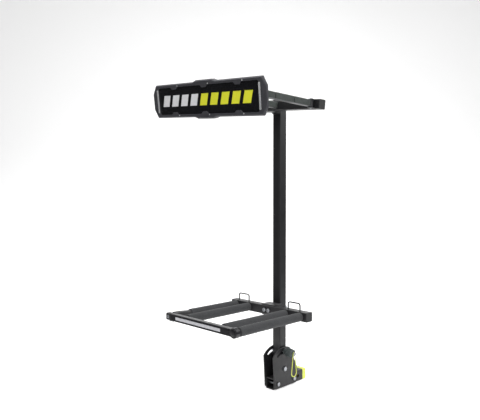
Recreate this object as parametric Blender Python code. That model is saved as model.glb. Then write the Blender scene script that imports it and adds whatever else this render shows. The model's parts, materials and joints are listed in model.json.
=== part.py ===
"""Hitch-mounted ski rack, modelled piece by piece in metres.

+X is the rack's right side, +Y points to the vehicle, +Z is up. The origin lies on the underside
of the hitch shank, below its pin hole. A tilting mast stands between two slotted plates. It carries
four padded tines closed by a swinging gate, and an upper frame with two swinging arms and a board.
"""

import math

import bmesh
import bpy
from mathutils import Vector

# Clearances
SEAT = 0.0003
RUN = 0.0003

# Reach of a cutting tool through a piece, as a share of that piece's size
PAST = 1.2

# Share of a half width that rounds an end completely
ROUND_END = 0.98

# Sides of round pieces, from the plainest to the ones that show most
FEW = 12
SOME = 16
MANY = 24

# Hitch shank and its end plug
SHANK_SIDE = 0.050
SHANK_WALL = 0.004
SHANK_CORNER = 0.006
SHANK_FRONT_Y = -0.169
SHANK_BACK_Y = 0.0335
SHANK_PLUG_HEAD = 0.024
PIN_HOLE_RADIUS = 0.008

# Tilt plates with their arc slots
PLATE_THICKNESS = 0.006
PLATE_RIM = 0.021
PLATE_FOOT_Z = 0.003
PLATE_FRONT = 0.066
PLATE_BACK = 0.090
PLATE_SHOULDER_Z = 0.078
PLATE_CORNER = 0.012
PLATE_ARC_FRONT = math.radians(50.0)
PLATE_ARC_BACK = math.radians(-22.0)
TILT_MAX = math.radians(35.0)
SLOT_RADIUS = 0.079
FOOT_BOLT_RADIUS = 0.005
FOOT_BOLT_FRONT = 0.045
FOOT_BOLT_REAR = 0.066
BOLT_RADIUS = 0.006
BUSH_RADIUS = 0.016
PLATE_EDGE = 0.0008

# Fastener proportions
HEAD_HEIGHT = 0.007
NUT_HEIGHT = 0.008
FLATS_PER_RADIUS = 3.1
CROWN_SHARE = 0.9
HEAD_CHAMFER = 0.001
THREAD_TAIL = 0.004
FLANGE_RADIUS = 0.012
FLANGE_THICKNESS = 0.002
METAL_EDGE = 0.0006

# Mast
MAST_SIDE = 0.045
MAST_WALL = 0.003
MAST_CORNER = 0.005
MAST_Y = -0.105
PIVOT_Z = 0.085
MAST_BELOW = 0.023
MAST_ABOVE = 0.034
CAP_FLANGE = 0.004
CAP_EDGE = 0.001
CAP_INSERT = 0.014

# Clamp knob and pull loop
KNOB_LENGTH = 0.052
KNOB_RADIUS = 0.021
KNOB_NECK_RADIUS = 0.013
KNOB_LOBES = 6
KNOB_FLUTE = 0.0012
LOOP_NECK_RADIUS = 0.004
LOOP_NECK_LENGTH = 0.0065
LOOP_STOP_RADIUS = 0.0085
LOOP_STOP_LENGTH = 0.003
LOOP_STOP_EDGE = 0.0012
LOOP_WIRE = 0.0018
LOOP_BOTTOM_RADIUS = 0.017
LOOP_DROP = 0.085

# Lower cross tube and tines
SADDLE_DEPTH = 0.0255
SADDLE_WIDTH = 0.076
SADDLE_FLANGE = 0.004
SADDLE_ROUND = 0.0036
SADDLE_TIP_ROUND = 0.0016
SADDLE_GRIP = 0.032
SADDLE_BOLT_X = 0.012
CROSS_SIDE = 0.040
CROSS_WALL = 0.0025
CROSS_CORNER = 0.004
TINE_Z = 0.362
LOWER_HALF = 0.2257
TINE_X_INNER = 0.1106
TINE_X_OUTER = 0.1915
TINE_RADIUS = 0.0125
TINE_WALL = 0.002
TINE_REACH = 0.3926
FOAM_RADIUS = 0.0186
FOAM_ROUND = 0.0025
PLUG_INSERT = 0.018
PLUG_FLANGE = 0.0045
PLUG_EDGE = 0.002
HOOP_WIRE = 0.003
HOOP_SPAN = 0.065
HOOP_HEIGHT = 0.036
HOOP_BEND = 0.010
HOOP_SETBACK = 0.010

# Gate, its pivot, catch and lock
GATE_DEPTH = 0.022
GATE_HEIGHT = 0.030
GATE_LEFT = 0.221
GATE_ROUND = 0.003
GATE_ROOM = 0.0066
HUB_RADIUS = 0.020
HUB_FILLET = 0.0015
HUB_RECESS_RADIUS = 0.0145
HUB_RECESS = 0.007
JOURNAL_RADIUS = 0.008
PIVOT_WASHER = 0.0015
WASHER_ROOM = 0.0012
PIVOT_SCREW_HEAD = 0.0055
HUB_CAP_DOME = 0.0012
HUB_CAP_CROWN = 0.006
HUB_CAP_SHOULDER = 0.011
REFLECTOR_LENGTH = 0.274
REFLECTOR_HEIGHT = 0.012
REFLECTOR_THICKNESS = 0.0012
REFLECTOR_CORNER = 0.002
REFLECTOR_CENTRE_X = -0.015
HOUSING_LENGTH = 0.033
HOUSING_CORNER = 0.006
LOCK_INSET = 0.016
LOCK_RADIUS = 0.006
LOCK_PROUD = 0.001
LOCK_EDGE = 0.0007
LOCK_STEM = 0.003
CAM_LENGTH = 0.012
CAM_WIDTH = 0.007
CAM_THICKNESS = 0.003
CATCH_LENGTH = 0.085
CATCH_SIDE = 0.034
CATCH_CORNER = 0.006
CATCH_TAIL = 0.031
CATCH_NECK = 0.009
CATCH_LEDGE = 0.004
CATCH_LEDGE_WIDTH = 0.030
CATCH_LEDGE_CORNER = 0.001
CATCH_LEDGE_REACH = 0.014
CAM_PLAY = 0.002

# Upper frame
UPPER_Z = 1.274
UPPER_ROLL = math.radians(5.6)
UPPER_HALF = 0.291
SOCKET_DEPTH = 0.0115
SOCKET_BASE = 0.003
SOCKET_TAPER = 0.004
SOCKET_RADIUS = 0.030
SOCKET_HEIGHT = 0.060
SOCKET_CORNER = 0.008

# Arm rails and rubber pads
RAIL_WIDTH = 0.024
RAIL_HEIGHT = 0.024
RAIL_FLANGE = 0.002
RAIL_WEB = 0.008
PAD_CROWN = 0.003
PAD_CORNER = 0.004
PAD_ROUND = 0.0036
PAD_RIBS = 3
PAD_RIB = 0.0007
RIB_LAND = 0.6
RIB_VALLEY = 0.8
PAD_GROOVE = 0.0016
PAD_GROOVE_DEPTH = 0.0015
PAD_PITCH = 0.111
ARM_X = 0.258
ARM_REACH = 0.352
ARM_FIRST_GROOVE = 0.152
HINGE_REACH = 0.0135
HINGE_PLATE = 0.003
HINGE_EAR = 0.004
HINGE_WIDTH = 0.024
HINGE_PIN_RADIUS = 0.004
HINGE_PIN_HEAD = 0.0065
HINGE_PIN_HEAD_HEIGHT = 0.0032
HINGE_PIN_TAIL = 0.0024
HINGE_PIN_EDGE = 0.0012
KNUCKLE_RADIUS = 0.0095
KNUCKLE_TO_RAIL = 0.0065
PAD_HINGE_ROOM = 0.0165
INNER_ARM_X = 0.055
INNER_ARM_REACH = 0.318
INNER_PAD_END = 0.030
LUG_THICKNESS = 0.004

# Board
BOARD_DISTANCE = 0.361
BOARD_DROP = 0.0195
BOARD_TILT = math.radians(10.4)
BOARD_END_MARGIN = 0.042
BOARD_SIDE_MARGIN = 0.014
BOARD_CHAMFER_X = 0.022
BOARD_CHAMFER_Z = 0.033
BOARD_CORNER = 0.006
SWELL_WIDTH = 0.136
SWELL_SLOPE = 0.020
SWELL_RISE = 0.0065
BOARD_DEPTH = 0.0215
BOARD_RIM = 0.004
BOARD_EDGE = 0.005
BOARD_BACK_EDGE = 0.002
BOARD_FLOOR = 0.003
PANEL_LENGTH = 0.600
PANEL_HEIGHT = 0.112
PANEL_CORNER = 0.008
PANEL_THICKNESS = 0.003
POCKETS = 6
POCKET_RIB = 0.003
POCKET_MARGIN = 0.012
BRACKET_WIDTH = 0.137
BRACKET_MARGIN = 0.004
BRACKET_THICKNESS = 0.004
BRACKET_CORNER = 0.014
CLIP_PITCH = 0.192
CLIP_BASE = 0.042
CLIP_CREST = 0.019
CLIP_REACH = 0.0095
CLIP_ROUND = 0.005
CLIP_LAND = 0.009
CLIP_THICKNESS = 0.0015
TRIM_WIDTH = 0.007
TRIM_CORNER = 0.0018
TRIM_THICKNESS = 0.0015
TRIM_SETBACK = 0.005
TRIM_MARGIN = 0.008

# Places worked out from the sizes
PLATE_INNER = SHANK_SIDE / 2 + SEAT
PLATE_OUTER = PLATE_INNER + PLATE_THICKNESS
CROSS_FACE = CROSS_SIDE / 2
MAST_TO_CROSS = MAST_SIDE / 2 + SADDLE_DEPTH + CROSS_FACE
GATE_BACK = CROSS_FACE + TINE_REACH - GATE_DEPTH
TINE_END = GATE_BACK - GATE_ROOM
RAIL_BOTTOM = -(RAIL_HEIGHT + PAD_CROWN) / 2
RAIL_TOP = RAIL_BOTTOM + RAIL_HEIGHT
PAD_TOP = RAIL_TOP + PAD_CROWN
ARM_HALF_HEIGHT = (RAIL_HEIGHT + PAD_CROWN) / 2
PANEL_SEAT = PANEL_THICKNESS + SEAT
BOARD_HALF = PANEL_LENGTH / 2 + BOARD_END_MARGIN
BOARD_HEIGHT = PANEL_HEIGHT + 2 * BOARD_SIDE_MARGIN

# Directions in which an outline is drawn out
UP = (0.0, 0.0, 0.0)
OUTWARD = (math.pi / 2, 0.0, 0.0)
INWARD = (-math.pi / 2, 0.0, 0.0)
RIGHT = (math.pi / 2, 0.0, math.pi / 2)
LEFT = (math.pi / 2, 0.0, -math.pi / 2)

# Colours (linear), roughness and metallic share of each finish
FINISHES = {
    "black_powder_coat": ((0.018, 0.018, 0.020), 0.45, 0.0),
    "black_plastic": ((0.022, 0.022, 0.024), 0.50, 0.0),
    "gloss_black": ((0.012, 0.012, 0.014), 0.12, 0.0),
    "charcoal_plastic": ((0.060, 0.060, 0.068), 0.55, 0.0),
    "grey_foam": ((0.095, 0.097, 0.100), 0.90, 0.0),
    "arm_rubber": ((0.050, 0.056, 0.052), 0.75, 0.0),
    "knob_plastic": ((0.060, 0.072, 0.072), 0.50, 0.0),
    "yellow_plastic": ((0.720, 0.740, 0.100), 0.45, 0.0),
    "zinc_steel": ((0.560, 0.570, 0.580), 0.32, 1.0),
    "bright_aluminium": ((0.780, 0.785, 0.790), 0.28, 1.0),
    "white_reflector": ((0.760, 0.760, 0.800), 0.25, 0.0),
}


def clear_scene():
    """Remove every object that the file opened with."""
    for item in list(bpy.data.objects):
        bpy.data.objects.remove(item, do_unlink=True)


def make_material(name):
    """Principled material of one finish."""
    colour, roughness, metallic = FINISHES[name]
    material = bpy.data.materials.new(name)
    material.use_nodes = True
    shader = material.node_tree.nodes["Principled BSDF"]
    shader.inputs["Base Color"].default_value = (*colour, 1.0)
    shader.inputs["Roughness"].default_value = roughness
    shader.inputs["Metallic"].default_value = metallic
    material.diffuse_color = (*colour, 1.0)
    return material


def circle(radius, count=MANY):
    """Round outline."""
    angles = [math.tau * index / count for index in range(count)]
    return [(radius * math.cos(angle), radius * math.sin(angle)) for angle in angles]


def arc(centre, radius, first, last, steps):
    """Points along an arc from one angle to another, both ends included."""
    angles = [first + (last - first) * step / steps for step in range(steps + 1)]
    return [(centre[0] + radius * math.cos(angle), centre[1] + radius * math.sin(angle)) for angle in angles]


def hexagon(flats):
    """Six-sided outline with a point at each corner and at the middle of each side."""
    half = flats / 2
    corner = half / math.cos(math.pi / 6)
    radii = [corner, half] * 6
    angles = [math.tau * index / 12 for index in range(12)]
    return [(r * math.cos(angle), r * math.sin(angle)) for r, angle in zip(radii, angles)]


def rounded(corners, steps=4):
    """Outline through corners given as (x, y, radius), each rounded by its radius."""
    outline = []
    for index, (x, y, radius) in enumerate(corners):
        if radius <= 0.0:
            outline.append((x, y))
            continue
        here = Vector((x, y))
        before = (Vector(corners[index - 1][:2]) - here).normalized()
        after = (Vector(corners[(index + 1) % len(corners)][:2]) - here).normalized()
        half = before.angle(after) / 2
        centre = here + (before + after).normalized() * radius / math.sin(half)
        first = here + before * radius / math.tan(half) - centre
        last = here + after * radius / math.tan(half) - centre
        start = math.atan2(first.y, first.x)
        sweep = math.atan2(last.y, last.x) - start
        sweep = (sweep + math.pi) % math.tau - math.pi
        for step in range(steps + 1):
            angle = start + sweep * step / steps
            outline.append((centre.x + radius * math.cos(angle), centre.y + radius * math.sin(angle)))
    return outline


def rectangle(width, height, corner, steps=3):
    """Rounded rectangle about the origin."""
    x = width / 2
    y = height / 2
    return rounded([(x, y, corner), (-x, y, corner), (-x, -y, corner), (x, -y, corner)], steps)


def at(outline, height, shift=(0.0, 0.0)):
    """Outline lifted to a height, as a loop of points."""
    return [(x + shift[0], y + shift[1], height) for x, y in outline]


def prism(outline, start, end, shift=(0.0, 0.0)):
    """Two loops that bound a straight run of one outline."""
    return [at(outline, start, shift), at(outline, end, shift)]


def sleeve(outer, inner, start, end, shift=(0.0, 0.0)):
    """Four loops that bound a straight hollow run; they are skinned as a ring."""
    return [at(outer, start, shift), at(outer, end, shift), at(inner, end, shift), at(inner, start, shift)]


def through_bolt(radius, nut_seat, head_seat):
    """Loops of a hexagon bolt with its nut: the nut starts below one height, the head above the other."""
    shaft = circle(radius, FEW)
    flats = hexagon(radius * FLATS_PER_RADIUS)
    crown = hexagon(radius * FLATS_PER_RADIUS * CROWN_SHARE)
    return [
        at(shaft, nut_seat - NUT_HEIGHT - THREAD_TAIL),
        at(shaft, nut_seat - NUT_HEIGHT),
        at(flats, nut_seat - NUT_HEIGHT),
        at(flats, nut_seat),
        at(shaft, nut_seat),
        at(shaft, head_seat),
        at(flats, head_seat),
        at(flats, head_seat + HEAD_HEIGHT - HEAD_CHAMFER),
        at(crown, head_seat + HEAD_HEIGHT),
    ]


def skin(bm, loops, ring=False):
    """Skin a row of equal loops. The ends are capped, or joined to each other for a ring."""
    rows = [[bm.verts.new(point) for point in loop] for loop in loops]
    pairs = list(zip(rows, rows[1:]))
    if ring:
        pairs.append((rows[-1], rows[0]))
    for lower, upper in pairs:
        for index in range(len(lower)):
            bm.faces.new((lower[index - 1], lower[index], upper[index], upper[index - 1]))
    if not ring:
        bm.faces.new(rows[0])
        bm.faces.new(rows[-1])


def make_piece(name, runs, finish, parent, place=(0.0, 0.0, 0.0), turn=UP, ring=False, bevel=0.0):
    """One named object from one or more runs of loops."""
    bm = bmesh.new()
    for loops in runs:
        skin(bm, loops, ring)
    bmesh.ops.recalc_face_normals(bm, faces=bm.faces)
    mesh = bpy.data.meshes.new(name)
    bm.to_mesh(mesh)
    bm.free()
    mesh.shade_smooth()
    mesh.set_sharp_from_angle(angle=math.radians(35.0))
    piece = bpy.data.objects.new(name, mesh)
    bpy.context.scene.collection.objects.link(piece)
    piece.parent = parent
    piece.location = place
    piece.rotation_euler = turn
    if finish:
        mesh.materials.append(finish)
    if bevel > 0.0:
        modifier = piece.modifiers.new("Edge", "BEVEL")
        modifier.width = bevel
        modifier.segments = 1
        modifier.limit_method = "ANGLE"
        modifier.angle_limit = math.radians(40.0)
    return piece


def apply_shape(piece, tool, operation="DIFFERENCE"):
    """Cut, join or trim a piece by a hidden tool shape."""
    tool.hide_render = True
    tool.display_type = "WIRE"
    modifier = piece.modifiers.new(operation.title(), "BOOLEAN")
    modifier.object = tool
    modifier.operation = operation
    modifier.solver = "EXACT"


def drill(piece, radius, place, turn, length, count=FEW):
    """Round hole through a piece, centred on a place and run both ways along the turn's direction."""
    loops = prism(circle(radius, count), -length / 2, length / 2)
    tool = make_piece(piece.name + "_drill", [loops], None, piece.parent, place, turn)
    apply_shape(piece, tool)


def make_wire(name, route, radius, finish, parent, place=(0.0, 0.0, 0.0), closed=False):
    """Round wire along a route of points."""
    curve = bpy.data.curves.new(name, "CURVE")
    curve.dimensions = "3D"
    curve.bevel_depth = radius
    curve.bevel_resolution = 2
    curve.use_fill_caps = not closed
    spline = curve.splines.new("POLY")
    spline.points.add(len(route) - 1)
    spline.use_cyclic_u = closed
    for point, (x, y, z) in zip(spline.points, route):
        point.co = (x, y, z, 1.0)
    curve.materials.append(finish)
    wire = bpy.data.objects.new(name, curve)
    bpy.context.scene.collection.objects.link(wire)
    wire.parent = parent
    wire.location = place
    return wire


def make_axis(name, parent, place, turn=UP):
    """Empty that carries the pieces of one body on its joint's axis."""
    axis = bpy.data.objects.new(name, None)
    bpy.context.scene.collection.objects.link(axis)
    axis.empty_display_size = 0.05
    axis.parent = parent
    axis.location = place
    axis.rotation_euler = turn
    return axis


def square_tube(name, side, wall, corner, start, end, finish, parent, place, turn):
    """Square tube with rounded corners."""
    inner_side = side - 2 * wall
    inner_corner = max(corner - wall, wall / 2)
    outer = rectangle(side, side, corner)
    inner = rectangle(inner_side, inner_side, inner_corner)
    return make_piece(name, [sleeve(outer, inner, start, end)], finish, parent, place, turn, ring=True)


def tube_cap(side, wall, corner, start, head=CAP_FLANGE):
    """Loops of a push-in cap whose head rests on a square tube's end at a height."""
    inner = side - 2 * wall - 2 * SEAT
    inner_corner = max(corner - wall, wall / 2)
    crown = side - 2 * CAP_EDGE
    seat = start + SEAT
    return [
        at(rectangle(inner, inner, inner_corner), start - CAP_INSERT),
        at(rectangle(inner, inner, inner_corner), seat),
        at(rectangle(side, side, corner), seat),
        at(rectangle(side, side, corner), seat + head - CAP_EDGE),
        at(rectangle(crown, crown, corner), seat + head),
    ]


def plate_outline():
    """Side view of a tilt plate about the mast's pivot: a quadrant over a bolted foot."""
    rim = SLOT_RADIUS + PLATE_RIM
    bottom = PLATE_FOOT_Z - PIVOT_Z
    quadrant = arc((0.0, 0.0), rim, math.pi / 2 + PLATE_ARC_FRONT, math.pi / 2 + PLATE_ARC_BACK, 12)
    corners = [(-PLATE_FRONT, bottom, PLATE_CORNER)]
    corners += [(y, z, 0.0) for y, z in quadrant]
    corners.append((PLATE_BACK, PLATE_SHOULDER_Z - PIVOT_Z, PLATE_CORNER))
    corners.append((PLATE_BACK, bottom, PLATE_CORNER))
    return rounded(corners)


def slot_outline():
    """Arc slot about the pivot, round at both ends, for the clamp bolt's travel."""
    half = BOLT_RADIUS + RUN
    upright = math.pi / 2
    tilted = upright + TILT_MAX
    near = (SLOT_RADIUS * math.cos(upright), SLOT_RADIUS * math.sin(upright))
    far = (SLOT_RADIUS * math.cos(tilted), SLOT_RADIUS * math.sin(tilted))
    outline = arc((0.0, 0.0), SLOT_RADIUS + half, upright, tilted, 10)
    outline += arc(far, half, tilted, tilted + math.pi, 6)[1:-1]
    outline += arc((0.0, 0.0), SLOT_RADIUS - half, tilted, upright, 10)
    outline += arc(near, half, upright - math.pi, upright, 6)[1:-1]
    return outline


def build_foot(finish):
    """Hitch shank, the plug in its end, and the bolted tilt plates."""
    middle = SHANK_SIDE / 2
    shank_length = SHANK_BACK_Y - SHANK_FRONT_Y
    shank = square_tube("hitch_shank", SHANK_SIDE, SHANK_WALL, SHANK_CORNER, 0.0, shank_length,
                        finish["black_powder_coat"], None, (0.0, SHANK_BACK_Y, middle), OUTWARD)
    drill(shank, PIN_HOLE_RADIUS, (0.0, 0.0, middle), RIGHT, SHANK_SIDE * PAST)

    plug = tube_cap(SHANK_SIDE, SHANK_WALL, SHANK_CORNER, 0.0, SHANK_PLUG_HEAD)
    make_piece("shank_end_cap", [plug], finish["yellow_plastic"], None,
               (0.0, SHANK_BACK_Y, middle), INWARD)

    bolt_ys = (MAST_Y - FOOT_BOLT_FRONT, MAST_Y + FOOT_BOLT_REAR)
    hole = FOOT_BOLT_RADIUS + SEAT
    for side, left_face in (("left", -PLATE_OUTER), ("right", PLATE_INNER)):
        plate = make_piece("tilt_plate_" + side, [prism(plate_outline(), 0.0, PLATE_THICKNESS)],
                           finish["black_powder_coat"], None, (left_face, MAST_Y, PIVOT_Z), RIGHT,
                           bevel=PLATE_EDGE)
        slot = make_piece("slot_" + side, [prism(slot_outline(), -PLATE_THICKNESS, 2 * PLATE_THICKNESS)],
                          None, None, (left_face, MAST_Y, PIVOT_Z), RIGHT)
        apply_shape(plate, slot)
        centre = left_face + PLATE_THICKNESS / 2
        drill(plate, BOLT_RADIUS + RUN, (centre, MAST_Y, PIVOT_Z), RIGHT, PLATE_THICKNESS * 2)
        for y in bolt_ys:
            drill(plate, hole, (centre, y, middle), RIGHT, PLATE_THICKNESS * 2)
    for y in bolt_ys:
        drill(shank, hole, (0.0, y, middle), RIGHT, SHANK_SIDE * PAST)

    reach = PLATE_OUTER + SEAT
    for name, radius, y, z in (
        ("foot_bolt_front", FOOT_BOLT_RADIUS, bolt_ys[0], middle),
        ("foot_bolt_rear", FOOT_BOLT_RADIUS, bolt_ys[1], middle),
        ("pivot_bolt", BOLT_RADIUS, MAST_Y, PIVOT_Z),
    ):
        make_piece(name, [through_bolt(radius, -reach, reach)], finish["zinc_steel"], None,
                   (0.0, y, z), RIGHT)

    bush_start = MAST_SIDE / 2 + SEAT
    bush_end = PLATE_INNER - SEAT
    bush = sleeve(circle(BUSH_RADIUS, SOME), circle(BOLT_RADIUS + RUN, SOME), bush_start, bush_end)
    for name, turn in (("tilt_bush_left", LEFT), ("tilt_bush_right", RIGHT)):
        make_piece(name, [bush], finish["black_plastic"], None, (0.0, MAST_Y, PIVOT_Z), turn, ring=True)


def build_clamp(finish, mast):
    """Clamp bolt through the arc slots, its knob, and the loop that hangs on its end."""
    place = (0.0, 0.0, SLOT_RADIUS)
    knob_start = PLATE_OUTER + SEAT
    knob_end = knob_start + KNOB_LENGTH
    neck_start = knob_end + SEAT
    neck_end = neck_start + LOOP_NECK_LENGTH
    flange_end = -PLATE_OUTER - SEAT
    head_end = flange_end - FLANGE_THICKNESS
    head = hexagon(BOLT_RADIUS * FLATS_PER_RADIUS)
    flange = circle(FLANGE_RADIUS, FEW)
    shaft = circle(BOLT_RADIUS, FEW)
    neck = circle(LOOP_NECK_RADIUS, FEW)
    stop = circle(LOOP_STOP_RADIUS, FEW)
    rod = [
        at(hexagon(BOLT_RADIUS * FLATS_PER_RADIUS * CROWN_SHARE), head_end - HEAD_HEIGHT),
        at(head, head_end - HEAD_HEIGHT + HEAD_CHAMFER),
        at(head, head_end),
        at(flange, head_end),
        at(flange, flange_end),
        at(shaft, flange_end),
        at(shaft, neck_start),
        at(neck, neck_start),
        at(neck, neck_end),
        at(stop, neck_end),
        at(stop, neck_end + LOOP_STOP_LENGTH - LOOP_STOP_EDGE),
        at(circle(LOOP_STOP_RADIUS - LOOP_STOP_EDGE, FEW), neck_end + LOOP_STOP_LENGTH),
    ]
    make_piece("clamp_bolt", [rod], finish["zinc_steel"], mast, place, RIGHT)

    axis = make_axis("tilt_knob_axis", mast, place)
    count = KNOB_LOBES * 5
    bore = circle(BOLT_RADIUS + RUN, count)

    def lobed(radius, flute):
        """Knob outline whose radius dips between the lobes."""
        outline = []
        for index in range(count):
            angle = math.tau * index / count
            reach = radius - flute * (1.0 - math.cos(KNOB_LOBES * angle))
            outline.append((reach * math.cos(angle), reach * math.sin(angle)))
        return outline

    # Share of the length, radius, depth of the flutes
    profile = [
        (0.0, KNOB_NECK_RADIUS, 0.0),
        (0.22, KNOB_NECK_RADIUS, 0.0),
        (0.32, KNOB_RADIUS * 0.86, KNOB_FLUTE * 0.6),
        (0.42, KNOB_RADIUS, KNOB_FLUTE),
        (0.80, KNOB_RADIUS, KNOB_FLUTE),
        (0.93, KNOB_RADIUS * 0.88, KNOB_FLUTE * 0.6),
        (1.0, KNOB_RADIUS * 0.62, 0.0),
    ]
    loops = [at(lobed(radius, flute), knob_start + KNOB_LENGTH * share) for share, radius, flute in profile]
    loops.append(at(bore, knob_end))
    loops.append(at(bore, knob_start))
    make_piece("tilt_knob", [loops], finish["knob_plastic"], axis, (0.0, 0.0, 0.0), RIGHT, ring=True)

    hang = make_axis("pull_loop_axis", mast, ((neck_start + neck_end) / 2, 0.0, SLOT_RADIUS))
    eye = LOOP_NECK_RADIUS + SEAT + LOOP_WIRE
    lean = math.asin((LOOP_BOTTOM_RADIUS - eye) / LOOP_DROP)
    outline = arc((0.0, 0.0), eye, -lean, math.pi + lean, 10)
    outline += arc((0.0, -LOOP_DROP), LOOP_BOTTOM_RADIUS, math.pi + lean, math.tau - lean, 12)
    route = [(0.0, y, z) for y, z in outline]
    make_wire("pull_loop", route, LOOP_WIRE, finish["yellow_plastic"], hang, closed=True)


def saddle_outline(back):
    """Side view of a cradle that grips the back of a cross tube: web, top and bottom flange."""
    inside = CROSS_FACE + SEAT
    outside = inside + SADDLE_FLANGE
    tip = inside - SADDLE_GRIP
    return rounded([
        (back, -outside, SADDLE_ROUND),
        (back, outside, SADDLE_ROUND),
        (tip, outside, SADDLE_TIP_ROUND),
        (tip, inside, 0.0),
        (inside, inside, 0.0),
        (inside, -inside, 0.0),
        (tip, -inside, 0.0),
        (tip, -outside, SADDLE_TIP_ROUND),
    ])


def build_mast(finish, mast, lower, upper):
    """Mast tube, the cradles on it, and the bolts through them."""
    lower_z = TINE_Z - PIVOT_Z
    upper_z = UPPER_Z - PIVOT_Z
    top = upper_z + MAST_ABOVE
    tube = square_tube("mast_tube", MAST_SIDE, MAST_WALL, MAST_CORNER, -MAST_BELOW, top,
                       finish["black_powder_coat"], mast, (0.0, 0.0, 0.0), UP)
    hole = BOLT_RADIUS + RUN
    drill(tube, hole, (0.0, 0.0, 0.0), RIGHT, MAST_SIDE * PAST)
    drill(tube, hole, (0.0, 0.0, SLOT_RADIUS), RIGHT, MAST_SIDE * PAST)
    drill(tube, hole, (0.0, 0.0, upper_z), OUTWARD, MAST_SIDE * PAST)
    for x in (-SADDLE_BOLT_X, SADDLE_BOLT_X):
        drill(tube, FOOT_BOLT_RADIUS + SEAT, (x, 0.0, lower_z), OUTWARD, MAST_SIDE * PAST)
    make_piece("mast_cap", [tube_cap(MAST_SIDE, MAST_WALL, MAST_CORNER, top)],
               finish["black_plastic"], mast)

    mast_front = MAST_TO_CROSS - MAST_SIDE / 2
    mast_back = MAST_TO_CROSS + MAST_SIDE / 2
    half = SADDLE_WIDTH / 2
    saddle = make_piece("lower_saddle", [prism(saddle_outline(mast_front - SEAT), -half, half)],
                        finish["black_powder_coat"], lower, (0.0, 0.0, 0.0), RIGHT, bevel=METAL_EDGE)
    for x in (-SADDLE_BOLT_X, SADDLE_BOLT_X):
        drill(saddle, FOOT_BOLT_RADIUS + SEAT, (x, mast_front, 0.0), OUTWARD, SADDLE_DEPTH * 3)

    nut_seat = -mast_back - SEAT
    head_seat = CROSS_FACE + SEAT
    for name, x in (("lower_saddle_bolt_left", -SADDLE_BOLT_X), ("lower_saddle_bolt_right", SADDLE_BOLT_X)):
        make_piece(name, [through_bolt(FOOT_BOLT_RADIUS, nut_seat, head_seat)], finish["zinc_steel"],
                   lower, (x, 0.0, 0.0), OUTWARD)
    make_piece("upper_pivot_bolt", [through_bolt(BOLT_RADIUS, nut_seat, head_seat)],
               finish["zinc_steel"], upper, (0.0, 0.0, 0.0), OUTWARD)

    base = rectangle(MAST_SIDE, SOCKET_HEIGHT, SOCKET_CORNER, 5)
    disc = rectangle(2 * SOCKET_RADIUS, 2 * SOCKET_RADIUS, SOCKET_RADIUS * ROUND_END, 5)
    socket = [
        at(base, 0.0),
        at(base, SOCKET_BASE),
        at(disc, SOCKET_BASE + SOCKET_TAPER),
        at(disc, SOCKET_DEPTH - SEAT),
    ]
    piece = make_piece("upper_socket", [socket], finish["black_powder_coat"], upper,
                       (0.0, mast_front - SEAT, 0.0), OUTWARD)
    drill(piece, hole, (0.0, mast_front, 0.0), OUTWARD, SOCKET_DEPTH * 4)


def build_tines(finish, lower):
    """Lower cross tube with its caps and hoops, four tines and their foam sleeves."""
    tube_half = LOWER_HALF - CAP_FLANGE - SEAT
    tube = square_tube("lower_cross_tube", CROSS_SIDE, CROSS_WALL, CROSS_CORNER, -tube_half, tube_half,
                       finish["black_powder_coat"], lower, (0.0, 0.0, 0.0), RIGHT)
    for x in (-SADDLE_BOLT_X, SADDLE_BOLT_X):
        drill(tube, FOOT_BOLT_RADIUS + SEAT, (x, 0.0, 0.0), OUTWARD, CROSS_SIDE * PAST)
    make_end_caps("lower", tube_half, finish, lower)

    centres = (-TINE_X_OUTER, -TINE_X_INNER, TINE_X_INNER, TINE_X_OUTER)
    start = -CROSS_FACE - SEAT
    tine_length = TINE_END - CROSS_FACE - SEAT
    for number, x in enumerate(centres, 1):
        outer = circle(TINE_RADIUS, SOME)
        inner = circle(TINE_RADIUS - TINE_WALL, SOME)
        make_piece("tine_tube_%d" % number, [sleeve(outer, inner, 0.0, tine_length)],
                   finish["black_powder_coat"], lower, (x, start, 0.0), OUTWARD, ring=True)
        foam_end = tine_length - SEAT
        if number == 1:
            foam_end = GATE_BACK - CATCH_LENGTH - CROSS_FACE - 2 * SEAT
        foam = [
            at(circle(FOAM_RADIUS - FOAM_ROUND), SEAT),
            at(circle(FOAM_RADIUS), SEAT + FOAM_ROUND),
            at(circle(FOAM_RADIUS), foam_end - FOAM_ROUND),
            at(circle(FOAM_RADIUS - FOAM_ROUND), foam_end),
            at(circle(TINE_RADIUS + SEAT), foam_end),
            at(circle(TINE_RADIUS + SEAT), SEAT),
        ]
        make_piece("foam_sleeve_%d" % number, [foam], finish["grey_foam"], lower,
                   (x, start, 0.0), OUTWARD, ring=True)

    insert = circle(TINE_RADIUS - TINE_WALL - SEAT, SOME)
    rim = circle(TINE_RADIUS, SOME)
    plug = [
        at(insert, -PLUG_INSERT),
        at(insert, SEAT),
        at(rim, SEAT),
        at(rim, PLUG_FLANGE - PLUG_EDGE),
        at(circle(TINE_RADIUS - PLUG_EDGE, SOME), PLUG_FLANGE),
    ]
    for number in (2, 3):
        make_piece("tine_plug_%d" % number, [plug], finish["black_plastic"], lower,
                   (centres[number - 1], -TINE_END, 0.0), OUTWARD)

    foot_z = CROSS_FACE + SEAT
    half = HOOP_SPAN / 2
    slot_x = (TINE_X_INNER + TINE_X_OUTER) / 2
    bend_z = foot_z + HOOP_HEIGHT - HOOP_WIRE - HOOP_BEND
    outline = [(half, foot_z)]
    outline += arc((half - HOOP_BEND, bend_z), HOOP_BEND, 0.0, math.pi / 2, 5)
    outline += arc((HOOP_BEND - half, bend_z), HOOP_BEND, math.pi / 2, math.pi, 5)
    outline.append((-half, foot_z))
    for side, centre in (("left", -slot_x), ("right", slot_x)):
        route = [(x, 0.0, z) for x, z in outline]
        make_wire("ski_stop_hoop_" + side, route, HOOP_WIRE, finish["black_powder_coat"], lower,
                  (centre, -HOOP_SETBACK, 0.0))


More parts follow.
